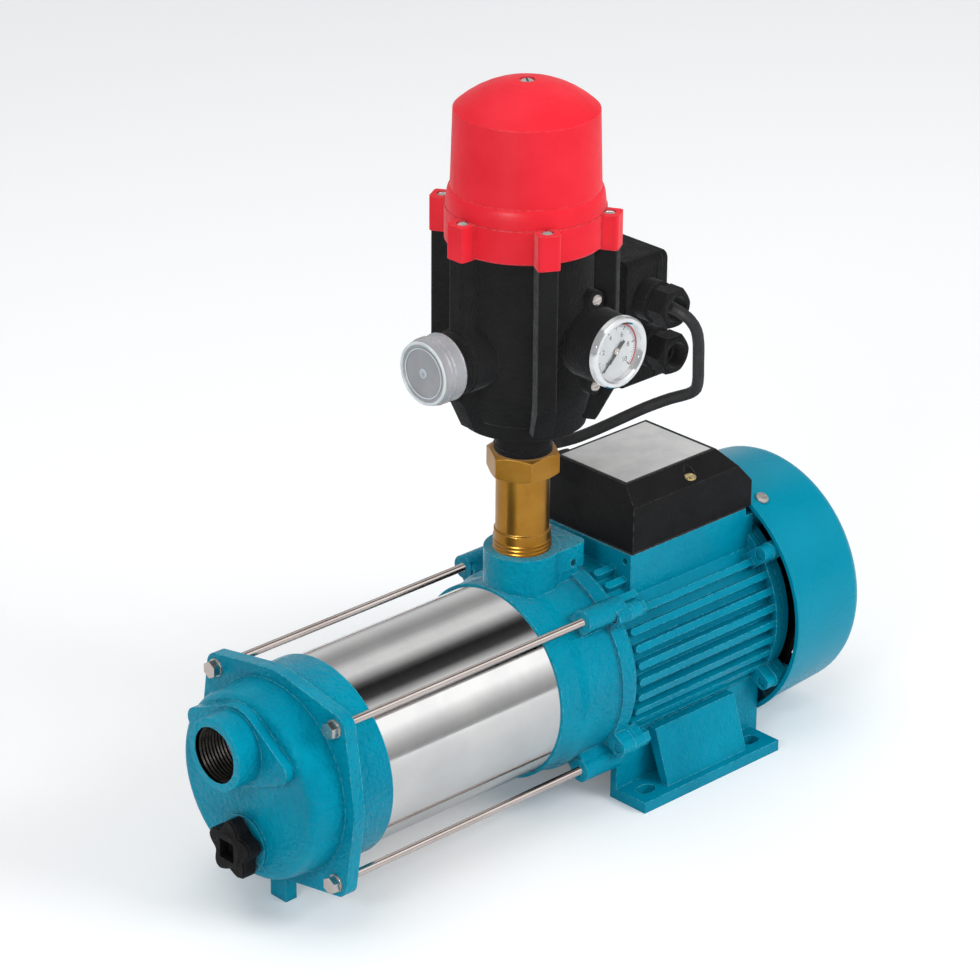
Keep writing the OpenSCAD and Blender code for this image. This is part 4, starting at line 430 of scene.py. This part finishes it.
# A helical thread: one tooth's profile spun along its axis, outward or inward
def thread(name, v, material, body):
    mesh = bmesh.new()
    axis = Vector(v["axis"])
    side = sideways(axis)
    turns = v["length"] / v["pitch"] - 1
    centre = Vector(v["start"])
    height = v["height"] * (-1 if v.get("inward") else 1)
    low = v["radius"] - tooth["root"] * math.copysign(1, height)
    high = v["radius"] + height
    profile = [(0, low), (tooth["crest"][0], high), (tooth["crest"][1], high), (1, low)]
    corners = [
        mesh.verts.new(centre + (axis * along * v["pitch"] + side * out) * millimetre)
        for along, out in profile]
    bmesh.ops.spin(
        mesh, geom=[mesh.faces.new(corners)], cent=centre, axis=axis,
        dvec=axis * v["pitch"] * millimetre / tooth["steps"], angle=2 * math.pi * turns,
        steps=round(tooth["steps"] * turns))
    return addPiece(name, mesh, material, body, tooth["smooth"])


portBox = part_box("suction_cover")
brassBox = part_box("brass_adapter")
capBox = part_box("outlet_cap")
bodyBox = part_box("controller_body")
outletZ = (capBox[0].z + capBox[1].z) / 2
threads = {
    "suctionThread": {
        "axis": (1, 0, 0), "start": (portBox[0].x + 1.0 * millimetre, 0, portZ),
        "length": 30, "height": 1.1, "inward": True, "material": cutIron},
    "adapterThread": {
        "axis": (0, 0, 1), "start": (controllerX, 0, brassBox[0].z + 10 * millimetre),
        "length": 12.4, "height": 0.5, "material": turnedBrass},
    "neckThread": {
        "axis": (0, 0, 1), "start": (controllerX, 0, brassBox[1].z - 3 * millimetre),
        "length": 8.4, "height": 0.5, "material": blackNylon},
    "outletThread": {
        "axis": (1, 0, 0), "start": (bodyBox[0].x + 0.5 * millimetre, 0, outletZ),
        "length": 17, "height": 0.4, "material": blackNylon}}
for name, v in threads.items():
    thread(name, {**pipeThread, **v}, v["material"], "housing")

# Machined wall of the suction bore, a thin sleeve on the casting
bore = {"radius": 16.5, "wall": 0.08, "from": 0.4, "to": 31, "segments": 72}
boreOuter = bore["radius"] + bore["wall"]
turnedPiece("suctionBoreWall", {
    "axis": (1, 0, 0), "centre": (portBox[0].x, 0, portZ), "steps": bore["segments"], "profile": [
        (boreOuter, bore["from"]), (boreOuter, bore["to"]), (bore["radius"], bore["to"]),
        (bore["radius"], bore["from"])]}, cutIron, "housing")

# Dial print: ticks, plain numbers and a red arc, all on the face of the dial
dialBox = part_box("gauge_dial")
dialCentre = Vector(((dialBox[0].x + dialBox[1].x) / 2, dialBox[0].y, (dialBox[0].z + dialBox[1].z) / 2))
dial = {
    "start": 225, "sweep": 270, "print": 0.06, "steps": 50, "major": 10, "middle": 5,
    "bold": 0.7, "fine": 0.3, "longIn": 12.6, "shortIn": 13.8, "out": 15.2,
    "numbers": 6, "numberStep": 2, "numberAt": 9.8, "numberSize": 4.2,
    "redFrom": 0.56, "redIn": 15.4, "redOut": 16.5, "redSteps": 36}


# A flat bar on the dial from one radius to another at an angle in degrees from the right
def dialBar(mesh, angle, inner, outer, width):
    along = Vector((math.cos(math.radians(angle)), 0, math.sin(math.radians(angle))))
    across = Vector((-along.z, 0, along.x))
    front = Vector((0, -dial["print"], 0))
    made = bmesh.ops.create_cube(mesh, size=1.0)
    for vert in made["verts"]:
        reach = inner + (vert.co.x + 0.5) * (outer - inner)
        vert.co = dialCentre + millimetre * (
            along * reach + across * vert.co.z * width + front * (vert.co.y + 0.5))


tickMesh = bmesh.new()
for i in range(dial["steps"] + 1):
    tickAngle = dial["start"] - dial["sweep"] * i / dial["steps"]
    tickIn = dial["longIn"] if i % dial["middle"] == 0 else dial["shortIn"]
    tickWidth = dial["bold"] if i % dial["major"] == 0 else dial["fine"]
    dialBar(tickMesh, tickAngle, tickIn, dial["out"], tickWidth)
addPiece("dialTicks", tickMesh, blackInkAndSlotShade, "housing")
redMesh = bmesh.new()
redStart = math.radians(dial["start"] - dial["sweep"] * dial["redFrom"])
redAlong = Vector((math.cos(redStart), 0, math.sin(redStart)))
redProfile = [
    (dial["redIn"], 0), (dial["redOut"], 0),
    (dial["redOut"], -dial["print"]), (dial["redIn"], -dial["print"])]
redCorners = [
    redMesh.verts.new(dialCentre + millimetre * (redAlong * r + Vector((0, y, 0)))) for r, y in redProfile]
bmesh.ops.spin(
    redMesh, geom=[redMesh.faces.new(redCorners)], cent=dialCentre, axis=(0, 1, 0),
    angle=math.radians(dial["sweep"] * (1 - dial["redFrom"])), steps=dial["redSteps"])
addPiece("dialRedArc", redMesh, redInk, "housing")
numberMesh = bmesh.new()
for i in range(dial["numbers"]):
    angle = math.radians(dial["start"] - dial["sweep"] * i / (dial["numbers"] - 1))
    figure = bpy.data.curves.new("number", "FONT")
    figure.body = str(dial["numberStep"] * i)
    figure.size = dial["numberSize"] * millimetre
    figure.extrude = dial["print"] * millimetre / 2
    figure.align_x = "CENTER"
    figure.align_y = "CENTER"
    holder = bpy.data.objects.new("number", figure)
    scene.collection.objects.link(holder)
    written = bpy.data.meshes.new_from_object(holder)
    spot = dialCentre + millimetre * Vector((
        dial["numberAt"] * math.cos(angle), -dial["print"] / 2, dial["numberAt"] * math.sin(angle)))
    written.transform(Matrix.Translation(spot) @ Matrix.Rotation(math.pi / 2, 4, "X"))
    numberMesh.from_mesh(written)
    bpy.data.objects.remove(holder)
    bpy.data.meshes.remove(written)
addPiece("dialNumbers", numberMesh, blackInkAndSlotShade, "housing")

# Domed cap on the pointer's hub
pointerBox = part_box("gauge_pointer")
hub = {"radius": 2.1, "height": 0.7, "sunk": 0.3, "shoulder": 0.4, "crown": 0.6, "steps": 32}
turnedPiece("pointerHub", {
    "axis": (0, -1, 0), "centre": (dialCentre.x, pointerBox[0].y + hub["sunk"] * millimetre, dialCentre.z),
    "steps": hub["steps"], "profile": [
        (0, 0), (hub["radius"], 0), (hub["radius"], hub["height"] * hub["shoulder"]),
        (hub["radius"] * hub["crown"], hub["height"]), (0, hub["height"])]}, zincPlate, "pointer")

# The outlet's cap has a rounded rim, a shallow ring and a small moulding nub on its face. The rim and the
# ring are measured in from the cap's edge, and the nub out from its middle
capTrim = {
    "rim": ((3.0, -0.3), (2.7, 0.35), (2.0, 0.6), (1.3, 0.3), (1.1, -0.3)),
    "ring": ((5.6, -0.2), (5.4, 0.12), (5.0, 0.12), (4.8, -0.2)),
    "nub": ((0, -0.2), (3.0, -0.2), (2.7, 0.3), (1.6, 0.35), (1.1, 0.1), (0, 0.1)), "smooth": 60}
capFace = {"axis": (-1, 0, 0), "centre": (capBox[0].x, (capBox[0].y + capBox[1].y) / 2, outletZ)}
capR = (capBox[1].z - capBox[0].z) / 2 / millimetre
capProfiles = {
    "capRim": [(capR - inset, ahead) for inset, ahead in capTrim["rim"]],
    "capRing": [(capR - inset, ahead) for inset, ahead in capTrim["ring"]],
    "capNub": capTrim["nub"]}
for name, profile in capProfiles.items():
    turnedPiece(name, {**capFace, "profile": profile}, milkyRim, "outlet_cap", capTrim["smooth"])

# A black disc on the fan, out to the tips of its blades, so no light comes through the cover's slots: a dark
# sheet of painted shade
fanShadeDisc = {"width": 15, "front": 0.4, "back": 1.8}
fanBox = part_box("fan")
fanR = (fanBox[1].z - fanBox[0].z) / 2 / millimetre
turnedPiece("fanShadeDisc", {
    "axis": (1, 0, 0), "centre": (fanBox[0].x, 0, (fanBox[0].z + fanBox[1].z) / 2), "profile": [
        (fanR - fanShadeDisc["width"], fanShadeDisc["front"]), (fanR, fanShadeDisc["front"]), (fanR, fanShadeDisc["back"]),
        (fanR - fanShadeDisc["width"], fanShadeDisc["back"])]}, blackNylon, "rotor")

# Slot of the screw at the cap's peak, drawn as a thin black bar on its head: painted shade in place of a cut
# slot
slot = {"size": (5.4, 1.1, 0.12), "turn": 55}
slotMesh = bmesh.new()
slotCube = bmesh.ops.create_cube(slotMesh, size=1.0)
for vert in slotCube["verts"]:
    vert.co = Vector([vert.co[i] * slot["size"][i] for i in range(3)]) * millimetre
slotTop = max(v.co.z for v in nodes["cap_screws"].data.vertices)
slotMesh.transform(
    Matrix.Translation((controllerX, 0, slotTop)) @ Matrix.Rotation(math.radians(slot["turn"]), 4, "Z"))
addPiece("peakSlot", slotMesh, blackInkAndSlotShade, "housing")

# Thick middle and tail of the gauge's pointer
pointerBar = {"angle": 225, "from": -7.5, "to": 8.5, "width": 1.9, "proud": 0.02}
barMesh = bmesh.new()
dialBar(barMesh, pointerBar["angle"], pointerBar["from"], pointerBar["to"], pointerBar["width"])
barShift = pointerBox[0].y - dialCentre.y - pointerBar["proud"] * millimetre
barMesh.transform(Matrix.Translation((0, barShift, 0)))
addPiece("pointerBar", barMesh, blackInkAndSlotShade, "pointer")

# The valve's spring is a plain sleeve: a welded copy of it rides on the housing, and the spring itself is
# hidden
sleeve = {"travel": 8.0, "weld": 0.001, "smooth": 40}
sleeveMesh = bmesh.new()
sleeveMesh.from_mesh(nodes["valve_spring"].data)
bmesh.ops.remove_doubles(sleeveMesh, verts=sleeveMesh.verts, dist=sleeve["weld"] * millimetre)
springSleeve = addPiece("springSleeve", sleeveMesh, groundSteel, "housing", sleeve["smooth"])
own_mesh(springSleeve)
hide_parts("valve_spring")

# Bare plate on the terminal box, with a thin dark border
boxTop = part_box("terminal_box")[1].z
plate = {"low": (-33.2, -28.2), "high": (39.6, 27.6), "rim": 1.0, "height": 0.35, "border": 0.2}
plateLow = [c + plate["rim"] for c in plate["low"]]
plateHigh = [c - plate["rim"] for c in plate["high"]]


# A thin slab on top of the terminal box between two corners
def boxSlab(name, low, high, height, material):
    mesh = bmesh.new()
    made = bmesh.ops.create_cube(mesh, size=1.0)
    for vert in made["verts"]:
        flat = [millimetre * (low[i] + (vert.co[i] + 0.5) * (high[i] - low[i])) for i in range(2)]
        vert.co = Vector(flat + [boxTop + (vert.co.z + 0.5) * height * millimetre])
    return addPiece(name, mesh, material, "housing")


boxSlab("plateBorder", plate["low"], plate["high"], plate["border"], blackInkAndSlotShade)
boxSlab("barePlate", plateLow, plateHigh, plate["height"], whitePlate)
print("pieces made")

# Plain pale floor, with a little light of its own for the camera
floorLook = {
    "size": 12.0, "colours": ("#F3F6F8", "#F8F9FA"), "cloud": 1.4, "detail": 3.0, "glow": 0.14,
    "roughness": 0.8, "specular": 0.1}
floorMesh = bmesh.new()
bmesh.ops.create_grid(floorMesh, x_segments=1, y_segments=1, size=floorLook["size"])
floorData = bpy.data.meshes.new("floor")
floorMesh.to_mesh(floorData)
floorMesh.free()
floor = bpy.data.objects.new("floor", floorData)
scene.collection.objects.link(floor)
floorMaterial, floorTree = newTree("studioFloor")
floorPlace = addNode(floorTree, "ShaderNodeTexCoord").outputs["Object"]
floorCloud = addNode(
    floorTree, "ShaderNodeTexNoise", values={"Scale": floorLook["cloud"], "Detail": floorLook["detail"]},
    links={"Vector": floorPlace})
floorTint = addNode(
    floorTree, "ShaderNodeMix", {"data_type": "RGBA"},
    {mixFirst: linearColour(floorLook["colours"][0]), mixSecond: linearColour(floorLook["colours"][1])},
    {mixFactor: floorCloud.outputs["Fac"]})
floorRays = addNode(floorTree, "ShaderNodeLightPath")
floorGlow = addNode(
    floorTree, "ShaderNodeMath", {"operation": "MULTIPLY"}, {1: floorLook["glow"]},
    {0: floorRays.outputs["Is Camera Ray"]})
floorShader = addNode(
    floorTree, "ShaderNodeBsdfPrincipled", values={
        "Roughness": floorLook["roughness"], "Specular IOR Level": floorLook["specular"],
        "Emission Color": (1, 1, 1, 1)},
    links={"Base Color": floorTint.outputs[mixResult], "Emission Strength": floorGlow.outputs[0]})
addNode(floorTree, "ShaderNodeOutputMaterial", links={"Surface": floorShader.outputs[0]})
floorData.materials.append(floorMaterial)

# Only these show in mirrors, so the barrel's bands stay plain. This comes before the tent is made, which
# has to show in them too
mirrored = (
    "suction_cover", "tie_rods", "tie_rod_washers", "drain_plug", "motor_frame", "end_shield", "fan_cover",
    "fan", "fanShadeDisc", "floor")
for made in scene.objects:
    if made.type == "MESH" and made.name not in mirrored:
        made.visible_glossy = False

# Half tent round the shaft's line, seen only in reflections. Its brightness by angle, in degrees from the
# near side over the top, makes the barrel's bands
tent = {"radius": 1.2, "axisZ": 0.08, "x": (-0.3, 1.8), "from": 2, "to": 178, "steps": 44}
bands = (
    (0, 0.37), (12, 0.62), (24, 1.1), (33, 1.6), (52, 1.6), (62, 0.8), (72, 0.06), (86, 0.02), (92, 0.12),
    (100, 0.55), (108, 1.0), (120, 0.95), (132, 0.5), (142, 0.42), (150, 0.5), (164, 0.72), (180, 0.8))
tentMesh = bmesh.new()
tentStart = math.radians(tent["from"])
tentY = -tent["radius"] * math.cos(tentStart)
tentZ = tent["axisZ"] + tent["radius"] * math.sin(tentStart)
tentLine = tentMesh.edges.new([tentMesh.verts.new((x, tentY, tentZ)) for x in tent["x"]])
bmesh.ops.spin(
    tentMesh, geom=[tentLine], cent=(0, 0, tent["axisZ"]), axis=(-1, 0, 0),
    angle=math.radians(tent["to"] - tent["from"]), steps=tent["steps"])
tentData = bpy.data.meshes.new("reflectionTent")
tentMesh.to_mesh(tentData)
tentMesh.free()
reflectionTent = bpy.data.objects.new("reflectionTent", tentData)
scene.collection.objects.link(reflectionTent)
tentMaterial, tentTree = newTree("tentLight")
tentPlace = addNode(tentTree, "ShaderNodeTexCoord").outputs["Object"]
tentParts = addNode(tentTree, "ShaderNodeSeparateXYZ", links={"Vector": tentPlace})
tentUp = addNode(
    tentTree, "ShaderNodeMath", {"operation": "SUBTRACT"}, {1: tent["axisZ"]}, {0: tentParts.outputs["Z"]})
tentNear = addNode(
    tentTree, "ShaderNodeMath", {"operation": "MULTIPLY"}, {1: -1.0}, {0: tentParts.outputs["Y"]})
tentAngle = addNode(
    tentTree, "ShaderNodeMath", {"operation": "ARCTAN2"},
    links={0: tentUp.outputs[0], 1: tentNear.outputs[0]})
tentShare = addNode(
    tentTree, "ShaderNodeMath", {"operation": "DIVIDE"}, {1: math.pi}, {0: tentAngle.outputs[0]})
tentCurve = addNode(tentTree, "ShaderNodeFloatCurve", links={"Value": tentShare.outputs[0]})
bandLine = tentCurve.mapping.curves[0]
brightest = max(bright for angle, bright in bands)
for i, (angle, bright) in enumerate(bands):
    spot = (angle / 180, bright / brightest)
    if i in (0, len(bands) - 1):
        bandLine.points[0 if i == 0 else -1].location = spot
    else:
        bandLine.points.new(*spot)
for point in bandLine.points:
    point.handle_type = "VECTOR"
tentCurve.mapping.update()
tentGlow = addNode(
    tentTree, "ShaderNodeMath", {"operation": "MULTIPLY"}, {1: brightest}, {0: tentCurve.outputs[0]})
tentShader = addNode(tentTree, "ShaderNodeEmission", links={"Strength": tentGlow.outputs[0]})
addNode(tentTree, "ShaderNodeOutputMaterial", links={"Surface": tentShader.outputs[0]})
tentData.materials.append(tentMaterial)
for kind in ("camera", "diffuse", "transmission", "volume_scatter", "shadow"):
    setattr(reflectionTent, "visible_" + kind, False)

# Soft key from the near right, one overhead, a fill from the front left, and a small one beside it that
# only lights glints. Power is in watts
lampAim = Vector((0, 0, 0.1))
lamps = {
    "keyLamp": {"place": (1.0, -2.2, 1.7), "size": (1.4, 1.0), "power": 40, "glossy": False},
    "topLamp": {"place": (-0.5, 0.3, 2.4), "size": (1.8, 1.6), "power": 17, "glossy": False},
    "fillLamp": {"place": (-2.4, -0.85, 1.55), "size": (0.7, 0.5), "power": 15, "glossy": False},
    "glintLamp": {"place": (-2.6, -1.0, 1.05), "size": (0.4, 0.4), "power": 80, "glossy": True}}
for name, values in lamps.items():
    lampData = bpy.data.lights.new(name, "AREA")
    lampData.shape = "RECTANGLE"
    lampData.size, lampData.size_y = values["size"]
    lampData.energy = values["power"]
    lamp = bpy.data.objects.new(name, lampData)
    scene.collection.objects.link(lamp)
    lamp.visible_glossy = values["glossy"]
    lamp.visible_diffuse = not values["glossy"]
    lamp.location = values["place"]
    lamp.rotation_euler = (lampAim - Vector(values["place"])).to_track_quat("-Z", "Y").to_euler()

# White surround for the camera and through the lens, softer as a source of light
surround = {"onObject": 0.46, "seen": 1.0}
world = bpy.data.worlds.new("studio")
scene.world = world
world.use_nodes = True
sky = world.node_tree
sky.nodes.clear()
rays = addNode(sky, "ShaderNodeLightPath")
clear = addNode(
    sky, "ShaderNodeMath", {"operation": "MAXIMUM"},
    links={0: rays.outputs["Is Camera Ray"], 1: rays.outputs["Is Transmission Ray"]})
skyStrength = addNode(
    sky, "ShaderNodeMapRange", values=spanValues((0.0, 1.0), (surround["onObject"], surround["seen"])),
    links={"Value": clear.outputs[0]})
skyLight = addNode(
    sky, "ShaderNodeBackground", values={"Color": (1, 1, 1, 1)}, links={"Strength": skyStrength.outputs[0]})
addNode(sky, "ShaderNodeOutputWorld", links={"Surface": skyLight.outputs[0]})
print("light set")
